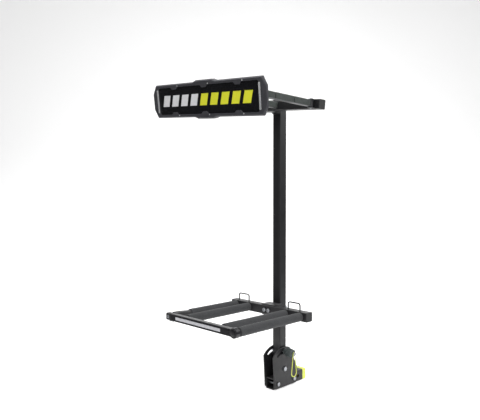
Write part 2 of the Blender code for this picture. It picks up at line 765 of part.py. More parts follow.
def make_end_caps(level, tube_half, finish, parent):
    """A push-in cap on each end of a cross tube."""
    cap = tube_cap(CROSS_SIDE, CROSS_WALL, CROSS_CORNER, tube_half)
    for side, turn in (("left", LEFT), ("right", RIGHT)):
        make_piece(level + "_end_cap_" + side, [cap], finish["black_plastic"], parent,
                   (0.0, 0.0, 0.0), turn)


def build_gate(finish, lower):
    """Gate bar that swings on the last tine, its pivot, its lock, and the catch on the first tine."""
    flange_end = GATE_ROOM - SEAT
    journal_end = GATE_ROOM + GATE_DEPTH - HUB_RECESS + SEAT
    washer_end = journal_end + PIVOT_WASHER
    screw_end = washer_end + PIVOT_WASHER
    insert = circle(TINE_RADIUS - TINE_WALL - SEAT, SOME)
    flange = circle(TINE_RADIUS, SOME)
    journal = circle(JOURNAL_RADIUS, SOME)
    washer = circle(HUB_RECESS_RADIUS - WASHER_ROOM, SOME)
    make_piece("gate_pivot", [[
        at(insert, -PLUG_INSERT),
        at(insert, SEAT),
        at(flange, SEAT),
        at(flange, flange_end),
        at(journal, flange_end),
        at(journal, journal_end),
        at(washer, journal_end),
        at(washer, washer_end),
        at(circle(PIVOT_SCREW_HEAD, SOME), washer_end),
        at(circle(PIVOT_SCREW_HEAD - HEAD_CHAMFER, SOME), screw_end),
    ]], finish["zinc_steel"], lower, (TINE_X_OUTER, -TINE_END, 0.0), OUTWARD)

    gate = make_axis("gate_axis", lower, (TINE_X_OUTER, -GATE_BACK, 0.0))
    half = GATE_HEIGHT / 2
    left = -(GATE_LEFT + TINE_X_OUTER)
    seam = left + HOUSING_LENGTH
    opening = math.asin(half / HUB_RADIUS)
    hub = arc((0.0, 0.0), HUB_RADIUS, math.pi - opening, opening - math.pi, 18)[1:-1]
    joint_x = -HUB_RADIUS * math.cos(opening)
    corners = [(seam + SEAT, -half, 0.0), (seam + SEAT, half, 0.0), (joint_x, half, HUB_FILLET)]
    corners += [(x, z, 0.0) for x, z in hub]
    corners.append((joint_x, -half, HUB_FILLET))
    bar = make_piece("gate_bar", [prism(rounded(corners, 2), 0.0, GATE_DEPTH)],
                     finish["gloss_black"], gate, (0.0, 0.0, 0.0), OUTWARD, bevel=GATE_ROUND)
    drill(bar, JOURNAL_RADIUS + RUN, (0.0, -GATE_DEPTH / 2, 0.0), OUTWARD, GATE_DEPTH * PAST, SOME)
    drill(bar, HUB_RECESS_RADIUS, (0.0, -GATE_DEPTH, 0.0), OUTWARD, 2 * HUB_RECESS, MANY)

    cap_start = screw_end + SEAT - GATE_ROOM
    cap_radius = HUB_RECESS_RADIUS - SEAT
    cap = [
        at(circle(cap_radius), cap_start),
        at(circle(cap_radius), GATE_DEPTH),
        at(circle(HUB_CAP_SHOULDER), GATE_DEPTH + HUB_CAP_DOME / 2),
        at(circle(HUB_CAP_CROWN), GATE_DEPTH + HUB_CAP_DOME),
    ]
    make_piece("gate_hub_cap", [cap], finish["black_plastic"], gate, (0.0, 0.0, 0.0), OUTWARD)

    reflector = rectangle(REFLECTOR_LENGTH, REFLECTOR_HEIGHT, REFLECTOR_CORNER)
    make_piece("gate_reflector", [prism(reflector, 0.0, REFLECTOR_THICKNESS)],
               finish["white_reflector"], gate,
               (REFLECTOR_CENTRE_X - TINE_X_OUTER, -GATE_DEPTH - SEAT, 0.0), OUTWARD)

    housing = rounded([
        (seam, -half, 0.0),
        (seam, half, 0.0),
        (left, half, HOUSING_CORNER),
        (left, -half, HOUSING_CORNER),
    ])
    body = make_piece("gate_lock_housing", [prism(housing, 0.0, GATE_DEPTH)],
                      finish["black_plastic"], gate, (0.0, 0.0, 0.0), OUTWARD, bevel=GATE_ROUND)
    lock_x = left + LOCK_INSET
    drill(body, LOCK_RADIUS + RUN, (lock_x, -GATE_DEPTH / 2, 0.0), OUTWARD, GATE_DEPTH * PAST, SOME)

    lock = make_axis("gate_lock_axis", gate, (lock_x, 0.0, 0.0))
    cam_back = SEAT + CAM_THICKNESS
    barrel = [
        at(circle(LOCK_STEM, SOME), -cam_back + CAM_THICKNESS / 2),
        at(circle(LOCK_STEM, SOME), 0.0),
        at(circle(LOCK_RADIUS, SOME), 0.0),
        at(circle(LOCK_RADIUS, SOME), GATE_DEPTH + LOCK_PROUD - LOCK_EDGE),
        at(circle(LOCK_RADIUS - LOCK_EDGE, SOME), GATE_DEPTH + LOCK_PROUD),
    ]
    barrel_piece = make_piece("gate_lock", [barrel], finish["zinc_steel"], lock, (0.0, 0.0, 0.0), OUTWARD)
    round_end = CAM_WIDTH / 2 * ROUND_END
    cam = rounded([
        (-CAM_WIDTH / 2, CAM_WIDTH / 2, round_end),
        (-CAM_WIDTH / 2, -CAM_LENGTH, round_end / 2),
        (CAM_WIDTH / 2, -CAM_LENGTH, round_end / 2),
        (CAM_WIDTH / 2, CAM_WIDTH / 2, round_end),
    ])
    tool = make_piece("lock_cam", [prism(cam, 0.0, CAM_THICKNESS)], None, lock, (0.0, cam_back, 0.0), OUTWARD)
    apply_shape(barrel_piece, tool, "UNION")
    build_catch(finish, lower, lock_x)


def build_catch(finish, lower, lock_x):
    """Tapered catch on the first tine's end: a pocket for the lock's cam and a ledge for the gate."""
    thin = 2 * (TINE_RADIUS + FOAM_ROUND)
    neck = rectangle(thin, thin, thin / 2 * ROUND_END)
    face = CATCH_LENGTH - 2 * SEAT
    body = [
        at(neck, 0.0),
        at(neck, CATCH_NECK),
        at(rectangle(CATCH_SIDE, CATCH_SIDE, CATCH_CORNER), CATCH_LENGTH - CATCH_TAIL),
        at(rectangle(CATCH_SIDE, CATCH_SIDE, CATCH_CORNER), face),
    ]
    start = -GATE_BACK + CATCH_LENGTH
    catch = make_piece("gate_catch", [body], finish["black_plastic"], lower,
                       (-TINE_X_OUTER, start, 0.0), OUTWARD)
    drill(catch, TINE_RADIUS + SEAT, (-TINE_X_OUTER, start, 0.0), OUTWARD,
          2 * (CATCH_LENGTH - GATE_ROOM + SEAT), SOME)

    bottom = -GATE_HEIGHT / 2 - SEAT
    ledge = rectangle(CATCH_LEDGE_WIDTH, CATCH_LEDGE, CATCH_LEDGE_CORNER)
    tool = make_piece("catch_ledge", [prism(ledge, 0.0, CATCH_LEDGE_REACH + GATE_ROOM)], None, lower,
                      (-TINE_X_OUTER, -GATE_BACK + GATE_ROOM, bottom - CATCH_LEDGE / 2), OUTWARD)
    apply_shape(catch, tool, "UNION")

    axis_x = lock_x + 2 * TINE_X_OUTER
    reach = CAM_LENGTH + CAM_PLAY
    gap = CAM_WIDTH / 2 + CAM_PLAY
    corridor = axis_x + gap
    sill = math.asin(gap / reach)
    outline = [(axis_x - CATCH_SIDE, CATCH_SIDE), (corridor, CATCH_SIDE), (corridor, gap)]
    outline += arc((axis_x, 0.0), reach, sill, -math.pi / 2, 9)
    outline.append((axis_x - CATCH_SIDE, -reach))
    slab = CAM_THICKNESS + SEAT + SEAT
    pocket = make_piece("catch_pocket", [prism(outline, 0.0, slab * 2)], None, lower,
                        (-TINE_X_OUTER, -GATE_BACK + slab + SEAT, 0.0), OUTWARD)
    apply_shape(catch, pocket)


def rail_outline():
    """End view of an arm rail: a web on a wide bottom flange."""
    return [
        (-RAIL_WIDTH / 2, RAIL_BOTTOM),
        (RAIL_WIDTH / 2, RAIL_BOTTOM),
        (RAIL_WIDTH / 2, RAIL_BOTTOM + RAIL_FLANGE),
        (RAIL_WEB / 2, RAIL_BOTTOM + RAIL_FLANGE),
        (RAIL_WEB / 2, RAIL_TOP),
        (-RAIL_WEB / 2, RAIL_TOP),
        (-RAIL_WEB / 2, RAIL_BOTTOM + RAIL_FLANGE),
        (-RAIL_WIDTH / 2, RAIL_BOTTOM + RAIL_FLANGE),
    ]


def pad_outline(sink=0.0):
    """End view of a rubber pad: an upside-down U over the rail's web, ribbed on both sides.

    The groove between two pads has the same outline with its outer faces sunk.
    """
    half = RAIL_WIDTH / 2 - sink
    low = RAIL_BOTTOM + RAIL_FLANGE + SEAT
    top = PAD_TOP - sink
    high = top - PAD_CORNER
    slot = RAIL_WEB / 2 + SEAT
    pitch = (high - low) / PAD_RIBS
    side = []
    for index in range(PAD_RIBS):
        base = low + pitch * index
        side.append((half, base + pitch * RIB_LAND, 0.0))
        side.append((half - PAD_RIB, base + pitch * RIB_VALLEY, 0.0))
        side.append((half, base + pitch, 0.0))
    corners = [(slot, low, 0.0), (half, low, 0.0)] + side
    corners.append((half, top, PAD_ROUND))
    corners.append((-half, top, PAD_ROUND))
    corners += [(-x, z, radius) for x, z, radius in reversed(side)]
    corners += [(-half, low, 0.0), (-slot, low, 0.0)]
    corners += [(-slot, RAIL_TOP + SEAT, 0.0), (slot, RAIL_TOP + SEAT, 0.0)]
    return rounded(corners, 2)


def pad_loops(start, end):
    """Three pads in a row, moulded in one piece and parted by grooves at the same places on every arm."""
    loops = [at(pad_outline(), start)]
    for groove in (ARM_FIRST_GROOVE, ARM_FIRST_GROOVE + PAD_PITCH):
        loops.append(at(pad_outline(), groove - PAD_GROOVE))
        loops.append(at(pad_outline(PAD_GROOVE_DEPTH), groove))
        loops.append(at(pad_outline(), groove + PAD_GROOVE))
    loops.append(at(pad_outline(), end))
    return loops


def build_upper_frame(finish, frame):
    """Upper cross tube with its cradle and caps, two fixed inner arms and the arm hinges."""
    tube_half = UPPER_HALF - CAP_FLANGE - SEAT
    tube = square_tube("upper_cross_tube", CROSS_SIDE, CROSS_WALL, CROSS_CORNER, -tube_half, tube_half,
                       finish["black_powder_coat"], frame, (0.0, 0.0, 0.0), RIGHT)
    hole = BOLT_RADIUS + RUN
    drill(tube, hole, (0.0, 0.0, 0.0), OUTWARD, CROSS_SIDE * PAST)
    make_end_caps("upper", tube_half, finish, frame)

    back = CROSS_FACE + SADDLE_DEPTH - SOCKET_DEPTH - SEAT
    half = SADDLE_WIDTH / 2
    cradle = make_piece("upper_cradle", [prism(saddle_outline(back), -half, half)],
                        finish["black_powder_coat"], frame, (0.0, 0.0, 0.0), RIGHT, bevel=METAL_EDGE)
    drill(cradle, hole, (0.0, back, 0.0), OUTWARD, SADDLE_DEPTH * 3)

    start = CROSS_FACE + SEAT
    for side, x in (("left", -INNER_ARM_X), ("right", INNER_ARM_X)):
        make_piece("inner_arm_" + side, [prism(rail_outline(), start, INNER_ARM_REACH)],
                   finish["bright_aluminium"], frame, (x, 0.0, 0.0), OUTWARD)
        make_piece("inner_pad_" + side, [pad_loops(start + SEAT, INNER_ARM_REACH - INNER_PAD_END)],
                   finish["arm_rubber"], frame, (x, 0.0, 0.0), OUTWARD)

    ear_top = ARM_HALF_HEIGHT + SEAT + HINGE_EAR
    pin = [
        at(circle(HINGE_PIN_RADIUS - HINGE_PIN_EDGE, FEW), -ear_top - HINGE_PIN_TAIL),
        at(circle(HINGE_PIN_RADIUS, FEW), HINGE_PIN_EDGE - ear_top - HINGE_PIN_TAIL),
        at(circle(HINGE_PIN_RADIUS, FEW), ear_top + SEAT),
        at(circle(HINGE_PIN_HEAD, FEW), ear_top + SEAT),
        at(circle(HINGE_PIN_HEAD, FEW), ear_top + HINGE_PIN_HEAD_HEIGHT - HINGE_PIN_EDGE),
        at(circle(HINGE_PIN_HEAD - HINGE_PIN_EDGE, FEW), ear_top + HINGE_PIN_HEAD_HEIGHT),
    ]
    for side, x in (("left", -ARM_X), ("right", ARM_X)):
        build_hinge_bracket("arm_hinge_bracket_" + side, x, finish, frame)
        make_piece("arm_hinge_pin_" + side, [pin], finish["zinc_steel"], frame,
                   (x, -CROSS_FACE - HINGE_REACH, 0.0))


def build_hinge_bracket(name, x, finish, frame):
    """Clevis on the front of the cross tube: a back plate and two ears round an arm's knuckle."""
    inside = ARM_HALF_HEIGHT + SEAT
    outside = inside + HINGE_EAR
    back = -CROSS_FACE - SEAT
    tip = -CROSS_FACE - HINGE_REACH - HINGE_WIDTH / 2
    outline = [
        (back, -outside),
        (back, outside),
        (tip, outside),
        (tip, inside),
        (back - HINGE_PLATE, inside),
        (back - HINGE_PLATE, -inside),
        (tip, -inside),
        (tip, -outside),
    ]
    half = HINGE_WIDTH / 2
    clevis = make_piece(name, [prism(outline, -half, half)], finish["black_powder_coat"], frame,
                        (x, 0.0, 0.0), RIGHT)
    plan = rounded([
        (-half * PAST, back + HINGE_PLATE, 0.0),
        (half * PAST, back + HINGE_PLATE, 0.0),
        (half, tip, half * ROUND_END),
        (-half, tip, half * ROUND_END),
    ], 6)
    tool = make_piece(name + "_plan", [prism(plan, -outside * PAST, outside * PAST)], None, frame,
                      (x, 0.0, 0.0), UP)
    apply_shape(clevis, tool, "INTERSECT")
    drill(clevis, HINGE_PIN_RADIUS + SEAT, (x, -CROSS_FACE - HINGE_REACH, 0.0), UP, outside * 3)


def build_swing_arm(side, sign, finish, frame):
    """Outer arm that swings on a clevis: a rail with a knuckle, and three rubber pads."""
    axis = make_axis(side + "_arm_axis", frame, (sign * ARM_X, -CROSS_FACE - HINGE_REACH, 0.0))
    reach = ARM_REACH - CROSS_FACE - HINGE_REACH
    rail = make_piece(side + "_arm_rail", [prism(rail_outline(), KNUCKLE_TO_RAIL, reach)],
                      finish["bright_aluminium"], axis, (0.0, 0.0, 0.0), OUTWARD)
    knuckle = prism(circle(KNUCKLE_RADIUS, SOME), -ARM_HALF_HEIGHT, ARM_HALF_HEIGHT)
    tool = make_piece(side + "_arm_knuckle", [knuckle], None, axis)
    apply_shape(rail, tool, "UNION")
    drill(rail, HINGE_PIN_RADIUS + RUN, (0.0, 0.0, 0.0), UP, ARM_HALF_HEIGHT * 3)

    offset = CROSS_FACE + HINGE_REACH
    make_piece(side + "_arm_pad", [pad_loops(offset + PAD_HINGE_ROOM, ARM_REACH - RAIL_FLANGE)],
               finish["arm_rubber"], axis, (0.0, offset, 0.0), OUTWARD)


def board_outline(inset=0.0):
    """Front view of the board: a long plate with blunt ends and a low swell midway along each side."""
    x = BOARD_HALF - inset
    z = BOARD_HEIGHT / 2 - inset
    shoulder_x = x - BOARD_CHAMFER_X
    shoulder_z = z - BOARD_CHAMFER_Z
    foot = SWELL_WIDTH / 2
    crest = foot - SWELL_SLOPE
    upper = [
        (x, shoulder_z, BOARD_CORNER),
        (shoulder_x, z, BOARD_CORNER),
        (foot, z, 0.0),
        (crest, z + SWELL_RISE, 0.0),
        (-crest, z + SWELL_RISE, 0.0),
        (-foot, z, 0.0),
        (-shoulder_x, z, BOARD_CORNER),
        (-x, shoulder_z, BOARD_CORNER),
    ]
    lower = [(-px, -pz, radius) for px, pz, radius in upper]
    return rounded(upper + lower, 2)


def build_board(finish, frame):
    """Board at the arms' outer end: moulded shell, glossy panel, clips, trims, and its bracket."""
    centre = (0.0, -CROSS_FACE - BOARD_DISTANCE, -BOARD_DROP)
    board = make_axis("board_place", frame, centre, (BOARD_TILT, 0.0, 0.0))

    front = BOARD_RIM
    loops = [
        at(board_outline(BOARD_BACK_EDGE), -BOARD_DEPTH),
        at(board_outline(), -BOARD_DEPTH + BOARD_EDGE),
        at(board_outline(), front - BOARD_EDGE),
        at(board_outline(BOARD_EDGE), front),
    ]
    shell = make_piece("board_shell", [loops], finish["charcoal_plastic"], board,
                       (0.0, 0.0, 0.0), OUTWARD)
    seat = rectangle(PANEL_LENGTH + 2 * SEAT, PANEL_HEIGHT + 2 * SEAT, PANEL_CORNER)
    tool = make_piece("panel_seat", [prism(seat, -PANEL_SEAT, front * 3)], None, board,
                      (0.0, 0.0, 0.0), OUTWARD)
    apply_shape(shell, tool)

    wing = BOARD_HALF - BOARD_CHAMFER_X - BRACKET_WIDTH / 2 - POCKET_MARGIN
    pitch = wing / (POCKETS / 2)
    height = BOARD_HEIGHT - 2 * POCKET_MARGIN
    outline = rectangle(pitch - POCKET_RIB, height, PANEL_CORNER, 2)
    runs = []
    for sign in (-1.0, 1.0):
        for index in range(POCKETS // 2):
            x = sign * (BRACKET_WIDTH / 2 + POCKET_MARGIN / 2 + pitch * (index + 0.5))
            runs.append(prism(outline, -2 * BOARD_DEPTH, -PANEL_SEAT - BOARD_FLOOR, (x, 0.0)))
    tool = make_piece("board_pockets", runs, None, board, (0.0, 0.0, 0.0), OUTWARD)
    apply_shape(shell, tool)

    panel = rectangle(PANEL_LENGTH, PANEL_HEIGHT, PANEL_CORNER)
    make_piece("board_panel", [prism(panel, -PANEL_THICKNESS, 0.0)], finish["gloss_black"], board,
               (0.0, 0.0, 0.0), OUTWARD)

    edge = PANEL_HEIGHT / 2
    base = CLIP_BASE / 2
    crest = CLIP_CREST / 2
    tab = rounded([
        (base, edge, 0.0),
        (base, edge + CLIP_LAND, 0.0),
        (-base, edge + CLIP_LAND, 0.0),
        (-base, edge, 0.0),
        (-crest, edge - CLIP_REACH, CLIP_ROUND),
        (crest, edge - CLIP_REACH, CLIP_ROUND),
    ], 2)
    runs = []
    for x in (-CLIP_PITCH, 0.0, CLIP_PITCH):
        for sign in (-1.0, 1.0):
            outline = [(px + x, sign * pz) for px, pz in tab]
            runs.append(prism(outline, SEAT, front + CLIP_THICKNESS))
    trim = rectangle(TRIM_WIDTH, PANEL_HEIGHT - 2 * TRIM_MARGIN, TRIM_CORNER)
    trim_x = PANEL_LENGTH / 2 + TRIM_SETBACK
    for x in (-trim_x, trim_x):
        runs.append(prism(trim, front / 2, front + TRIM_THICKNESS, (x, 0.0)))
    tool = make_piece("clips_and_trims", runs, None, board, (0.0, 0.0, 0.0), OUTWARD)
    apply_shape(shell, tool, "UNION")
    build_board_bracket(finish, frame, board)


def build_board_bracket(finish, frame, board):
    """Plate behind the board with two lugs that bolt to the inner arms."""
    outline = rectangle(BRACKET_WIDTH, BOARD_HEIGHT - 2 * BRACKET_MARGIN, BRACKET_CORNER)
    front = -BOARD_DEPTH - SEAT
    plate = make_piece("board_bracket", [prism(outline, front - BRACKET_THICKNESS, front)],
                       finish["black_powder_coat"], board, (0.0, 0.0, 0.0), OUTWARD, bevel=METAL_EDGE)

    low = RAIL_BOTTOM + RAIL_FLANGE + SEAT
    high = RAIL_TOP

    def plate_back(z):
        """Distance outward from the tube's centre to the middle of the tilted plate at a height."""
        depth = BOARD_DEPTH + SEAT + BRACKET_THICKNESS / 2
        centre = CROSS_FACE + BOARD_DISTANCE
        return centre - depth / math.cos(BOARD_TILT) + (z + BOARD_DROP) * math.tan(BOARD_TILT)

    rear = INNER_ARM_REACH - INNER_PAD_END + SEAT
    lug = [(-rear, low), (-rear, high), (-plate_back(high), high), (-plate_back(low), low)]
    face = INNER_ARM_X - RAIL_WEB / 2 - SEAT
    runs = []
    for left in (-face, face - LUG_THICKNESS):
        runs.append(prism(lug, left, left + LUG_THICKNESS))
    tool = make_piece("bracket_lugs", runs, None, frame, (0.0, 0.0, 0.0), RIGHT)
    apply_shape(plate, tool, "UNION")


def main():
    """Build the whole rack."""
    clear_scene()
    finish = {name: make_material(name) for name in FINISHES}
    mast = make_axis("mast_axis", None, (0.0, MAST_Y, PIVOT_Z))
    lower = make_axis("lower_place", mast, (0.0, -MAST_TO_CROSS, TINE_Z - PIVOT_Z))
    upper = make_axis("upper_place", mast, (0.0, -MAST_TO_CROSS, UPPER_Z - PIVOT_Z))
    frame = make_axis("upper_frame_axis", upper, (0.0, 0.0, 0.0), (0.0, UPPER_ROLL, 0.0))
    build_foot(finish)
    build_clamp(finish, mast)
    build_mast(finish, mast, lower, upper)
    build_tines(finish, lower)
    build_gate(finish, lower)
    build_upper_frame(finish, frame)
    build_swing_arm("right", 1.0, finish, frame)
    build_swing_arm("left", -1.0, finish, frame)
    build_board(finish, frame)


main()
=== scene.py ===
"""Looks of the hitch ski rack: finishes, foam and rubber pads, small fittings, studio and camera.

Lengths are in metres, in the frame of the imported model: +X is the rack's right side, +Y points to the
vehicle, +Z is up.
"""

import json
import math

import bmesh
import bpy
from mathutils import Matrix, Vector, noise


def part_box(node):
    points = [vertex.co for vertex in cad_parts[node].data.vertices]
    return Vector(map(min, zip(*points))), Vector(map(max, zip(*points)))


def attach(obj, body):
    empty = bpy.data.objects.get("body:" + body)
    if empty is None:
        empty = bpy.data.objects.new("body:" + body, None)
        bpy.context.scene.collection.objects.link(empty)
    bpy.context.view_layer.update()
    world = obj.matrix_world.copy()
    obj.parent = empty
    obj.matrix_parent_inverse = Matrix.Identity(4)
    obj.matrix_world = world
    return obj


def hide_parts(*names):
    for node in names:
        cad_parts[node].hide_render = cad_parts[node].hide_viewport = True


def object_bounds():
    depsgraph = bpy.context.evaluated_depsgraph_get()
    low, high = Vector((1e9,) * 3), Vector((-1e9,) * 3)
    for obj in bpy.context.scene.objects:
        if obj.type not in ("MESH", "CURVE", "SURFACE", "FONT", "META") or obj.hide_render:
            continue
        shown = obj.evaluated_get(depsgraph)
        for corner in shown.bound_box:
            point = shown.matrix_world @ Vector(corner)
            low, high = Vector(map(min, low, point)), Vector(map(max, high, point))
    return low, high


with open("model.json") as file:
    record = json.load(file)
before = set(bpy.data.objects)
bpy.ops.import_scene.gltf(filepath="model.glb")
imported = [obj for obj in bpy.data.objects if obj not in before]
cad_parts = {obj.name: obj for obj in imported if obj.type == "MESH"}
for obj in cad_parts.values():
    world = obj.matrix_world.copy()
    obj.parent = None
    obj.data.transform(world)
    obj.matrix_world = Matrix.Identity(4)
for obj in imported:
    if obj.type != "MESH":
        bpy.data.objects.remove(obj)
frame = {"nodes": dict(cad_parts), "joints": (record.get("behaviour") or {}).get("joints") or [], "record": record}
cad_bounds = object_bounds()
joints = {joint["name"]: joint for joint in frame["joints"]}

# Camera fitted to the photograph
CAMERA_PLACE = Vector((1.573, -1.911, 0.8555))
CAMERA_RIGHT = Vector((0.7022, 0.7120, 0.0)).normalized()
CAMERA_AHEAD = Vector((-CAMERA_RIGHT.y, CAMERA_RIGHT.x, 0.0))
CAMERA_PITCH = math.radians(1.11)
CAMERA_NEAREST = 0.05
LENS = 39.09
SENSOR = 36.0

# Light: surround from horizon to zenith, glow of the floor, and soft lamps
HORIZON = 0.06
ZENITH = 1.0
ZENITH_FROM = 0.75
BACKGROUND_SEEN = 0.92
FLOOR_GLOW = 0.30
LAMPS = (
    ("key", (3.2, -2.0, 2.4), 2.0, 48.0),
    ("top", (0.2, -0.4, 3.4), 2.6, 80.0),
    ("side", (3.2, 0.0, 2.6), 1.6, 34.0),
    ("back", (1.2, 2.4, 2.4), 1.6, 25.0),
)
LAMP_TARGET = Vector((0.0, -0.25, 0.7))

# Floor that widens away from the camera and runs up into a wall
FLOOR_START = -2.2
FLOOR_END = 2.0
FLOOR_BEND = 1.5
FLOOR_BEND_STEPS = 12
WALL_HEIGHT = 6.0
FLOOR_MARGIN = 0.35
FLOOR_FAN = 0.50
FLOOR_GAP = 0.001

# Board, as it hangs on the upper frame
BOARD_TILT = math.radians(10.4)
BOARD_REACH = 0.381
BOARD_DROP = 0.0195
BOARD_RIM = 0.004

# Casing: behind its front the two ends slope in, fully so past a short bend
CASING_FRONT = 0.005
CASING_STRAIGHT = 0.301
CASING_BEND = 0.030
CASING_DRAFT = 1.0

# Foam sleeves
FOAM_END_ROUND = 0.0035
FOAM_BORE_ROOM = 0.0002
FOAM_SIDES = 56
FOAM_RINGS = 60
FOAM_WAVER = 0.00035
FOAM_WAVES_ROUND = 2.0
FOAM_WAVES_ALONG = 45.0
FOAM_WAVES_APART = 7.0

# Rubber pads of the arms
PAD_GROOVES = (0.152, 0.263)
PAD_GAP = 0.0034
PAD_END_ROUND = 0.0022
PAD_END_CUTS = (0.3, 1.0)
PAD_RIB_PITCH = 0.0022
PAD_RIB_DEPTH = 0.00045
PAD_GROOVE_SHARE = 0.22
PAD_BEAD = 0.0030
PAD_TOP_MARGIN = 0.0052
PAD_TOP_DIP = 0.0006
RAIL_WEB = 0.0043
WEB_ROOM = 0.0003

# Slanted marks across the board's panel
MARK_HEIGHT = 0.046
MARK_WIDTH = 0.0422
MARK_GAP = 0.019
MARK_SLANT = 0.014
MARK_SEAT = 0.00005
MARK_THICKNESS = 0.00025
MARK_START = -0.277
WHITE_MARKS = 4
YELLOW_MARKS = 5

# Bright trims and screws on the board's rim
TRIM_X = 0.305
TRIM_WIDTH = 0.0078
TRIM_LENGTH = 0.0968
TRIM_RISE = 0.0021
TRIM_CORNER = 0.0026
TRIM_ROUND = 0.0007
SCREW_X = (-0.165, 0.027, 0.219)
SCREW_Z = 0.0600
SCREW_SIDES = 24
SCREW_RADIUS = 0.0024
SCREW_RISE = 0.0012
SCREW_ROUND = 0.6 * SCREW_RISE
SCREW_MARGIN = 0.2 * SCREW_RADIUS
SOCKET_WIDTH = 0.0021
SOCKET_CHAMFER = 0.05 * SOCKET_WIDTH
SOCKET_DEPTH = 0.7 * SCREW_RISE

# Gate: ring on the hub, bezel and key slot of the lock
HUB_RING_RADIUS = 0.0170
HUB_RING_WIDTH = 0.0022
HUB_RING_SIDES = 72
BEZEL_RADIUS = 0.0069
BEZEL_WIDTH = 0.0014
BEZEL_SIDES = 48
RING_RISE = 0.0007
RING_SECTION_SIDES = 14
KEY_FACE_RADIUS = 0.0050
KEY_FACE_SIDES = 36
KEY_FACE_RISE = 0.0004
KEY_FACE_ROUND = 0.6 * KEY_FACE_RISE
KEY_SLOT_LENGTH = 0.0056
KEY_SLOT_WIDTH = 0.0013
KEY_SLOT_RISE = 0.0001
KEY_SLOT_ROUND = 0.45 * KEY_SLOT_WIDTH

# Weld beads; the section and the step between cuts are shares of a bead's size
TINE_BEAD = 0.0022
TINE_RIPPLES = 26
HOOP_BEAD = 0.0014
HOOP_RIPPLES = 12
SOCKET_BEAD = 0.0030
SOCKET_BEAD_MARGIN = 0.006
BEAD_SECTION = ((-0.2, -0.2), (1.0, -0.2), (0.85, 0.22), (0.48, 0.48), (0.22, 0.85), (-0.2, 1.0))
BEAD_RIPPLE = 0.12
BEAD_STEP = 0.3
BEAD_STEPS_A_RIPPLE = 4
BEAD_TAPER = 6.0
BEAD_TIP = 0.35

# Clamp knob; a station gives shares of the length and the radius, and the depth of the lobes
KNOB_STATIONS = ((0.0, 0.56, 0.0), (0.03, 0.62, 0.0), (0.20, 0.62, 0.0), (0.24, 0.68, 0.1), (0.42, 1.0, 1.0),
                 (0.78, 1.0, 1.0), (0.93, 0.90, 0.7), (1.0, 0.62, 0.0))
KNOB_RINGS = 44
KNOB_LOBES = 6
KNOB_FLUTE = 0.0012
KNOB_RIBS = 48
KNOB_RIB_SIDES = 6
KNOB_RIB_DEPTH = 0.00014
KNOB_BORE = 0.0063

# Pull loop
LOOP_WIRE = 0.0018
LOOP_WIRE_SIDES = 16
LOOP_EYE = 0.0061
LOOP_EYE_STEPS = 24
LOOP_FOOT = 0.0169
LOOP_FOOT_STEPS = 32
LOOP_DROP = 0.085

# Colours and ranges that shape the finishes
WHITE = (1.0, 1.0, 1.0, 1.0)
DUST_GREY = (0.10, 0.10, 0.10, 1.0)
# Painted shade: colour of the rails' underside and of their end under the hinge
RAIL_PAINTED_SHADE = (0.020, 0.020, 0.022, 1.0)
NOISE_SPAN = (0.3, 0.7)
DUST_FACING = (0.55, 0.95)
DUST_SPAN = (0.35, 0.7)
LINE_STRETCH = (8.0, 0.15, 8.0)
# Spans of facing and of Y over which the rails' painted shade sets in
RAIL_SHADED_UNDERSIDE = (-0.45, -0.75)
RAIL_SHADED_HINGE_END = (-0.2245, -0.2185)

SMALL = 0.00001


# Mesh tools

def finished(name, bm, material, smooth_angle=35.0):
    """Object at the origin from a mesh, smooth but for its sharp edges."""
    mesh = bpy.data.meshes.new(name)
    bm.to_mesh(mesh)
    bm.free()
    mesh.shade_smooth()
    mesh.set_sharp_from_angle(angle=math.radians(smooth_angle))
    mesh.materials.append(material)
    piece = bpy.data.objects.new(name, mesh)
    bpy.context.scene.collection.objects.link(piece)
    return piece


def fit(piece, body, replaced=None):
    """Let a piece ride on a body, and stand for a node where one is named."""
    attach(piece, body)
    if replaced:
        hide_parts(replaced)


def set_in(bm, part, place=Matrix.Identity(4)):
    """Close a part's seams, turn its faces outward, place it and add it to a larger mesh."""
    bmesh.ops.remove_doubles(part, verts=part.verts, dist=SMALL)
    bmesh.ops.recalc_face_normals(part, faces=part.faces)
    inside_out = part.calc_volume(signed=True) < 0.0
    mirrored = place.determinant() < 0.0
    if inside_out != mirrored:
        bmesh.ops.reverse_faces(part, faces=part.faces)
    bmesh.ops.transform(part, matrix=place, verts=part.verts)
    mesh = bpy.data.meshes.new("part")
    part.to_mesh(mesh)
    part.free()
    bm.from_mesh(mesh)
    bpy.data.meshes.remove(mesh)


def joined(part, points):
    """Edges that join points to a closed outline."""
    verts = [part.verts.new(point) for point in points]
    return [part.edges.new(pair) for pair in zip(verts, verts[1:] + verts[:1])]


def spun(part, steps):
    """Spin all that a part holds once round the Z axis."""
    bmesh.ops.spin(part, geom=part.verts[:] + part.edges[:], cent=(0.0, 0.0, 0.0), axis=(0.0, 0.0, 1.0),
                   dvec=(0.0, 0.0, 0.0), angle=math.tau, steps=steps, use_merge=True)


def turned(section, steps):
    """Part made by spinning a closed section of (radius, height) pairs."""
    part = bmesh.new()
    joined(part, [(radius, 0.0, height) for radius, height in section])
    spun(part, steps)
    return part


def pushed(corners, along):
    """Prism: a face of a few corners pushed along a vector."""
    part = bmesh.new()
    face = part.faces.new([part.verts.new(corner) for corner in corners])
    moved = bmesh.ops.extrude_face_region(part, geom=[face])["geom"]
    verts = [item for item in moved if isinstance(item, bmesh.types.BMVert)]
    bmesh.ops.translate(part, vec=along, verts=verts)
    part.normal_update()
    return part


def block(width, length, rise):
    """Block that stands on the XY plane."""
    part = bmesh.new()
    size = Matrix.Diagonal((width, length, rise, 1.0))
    bmesh.ops.create_cube(part, size=1.0, matrix=Matrix.Translation((0.0, 0.0, rise / 2)) @ size)
    return part


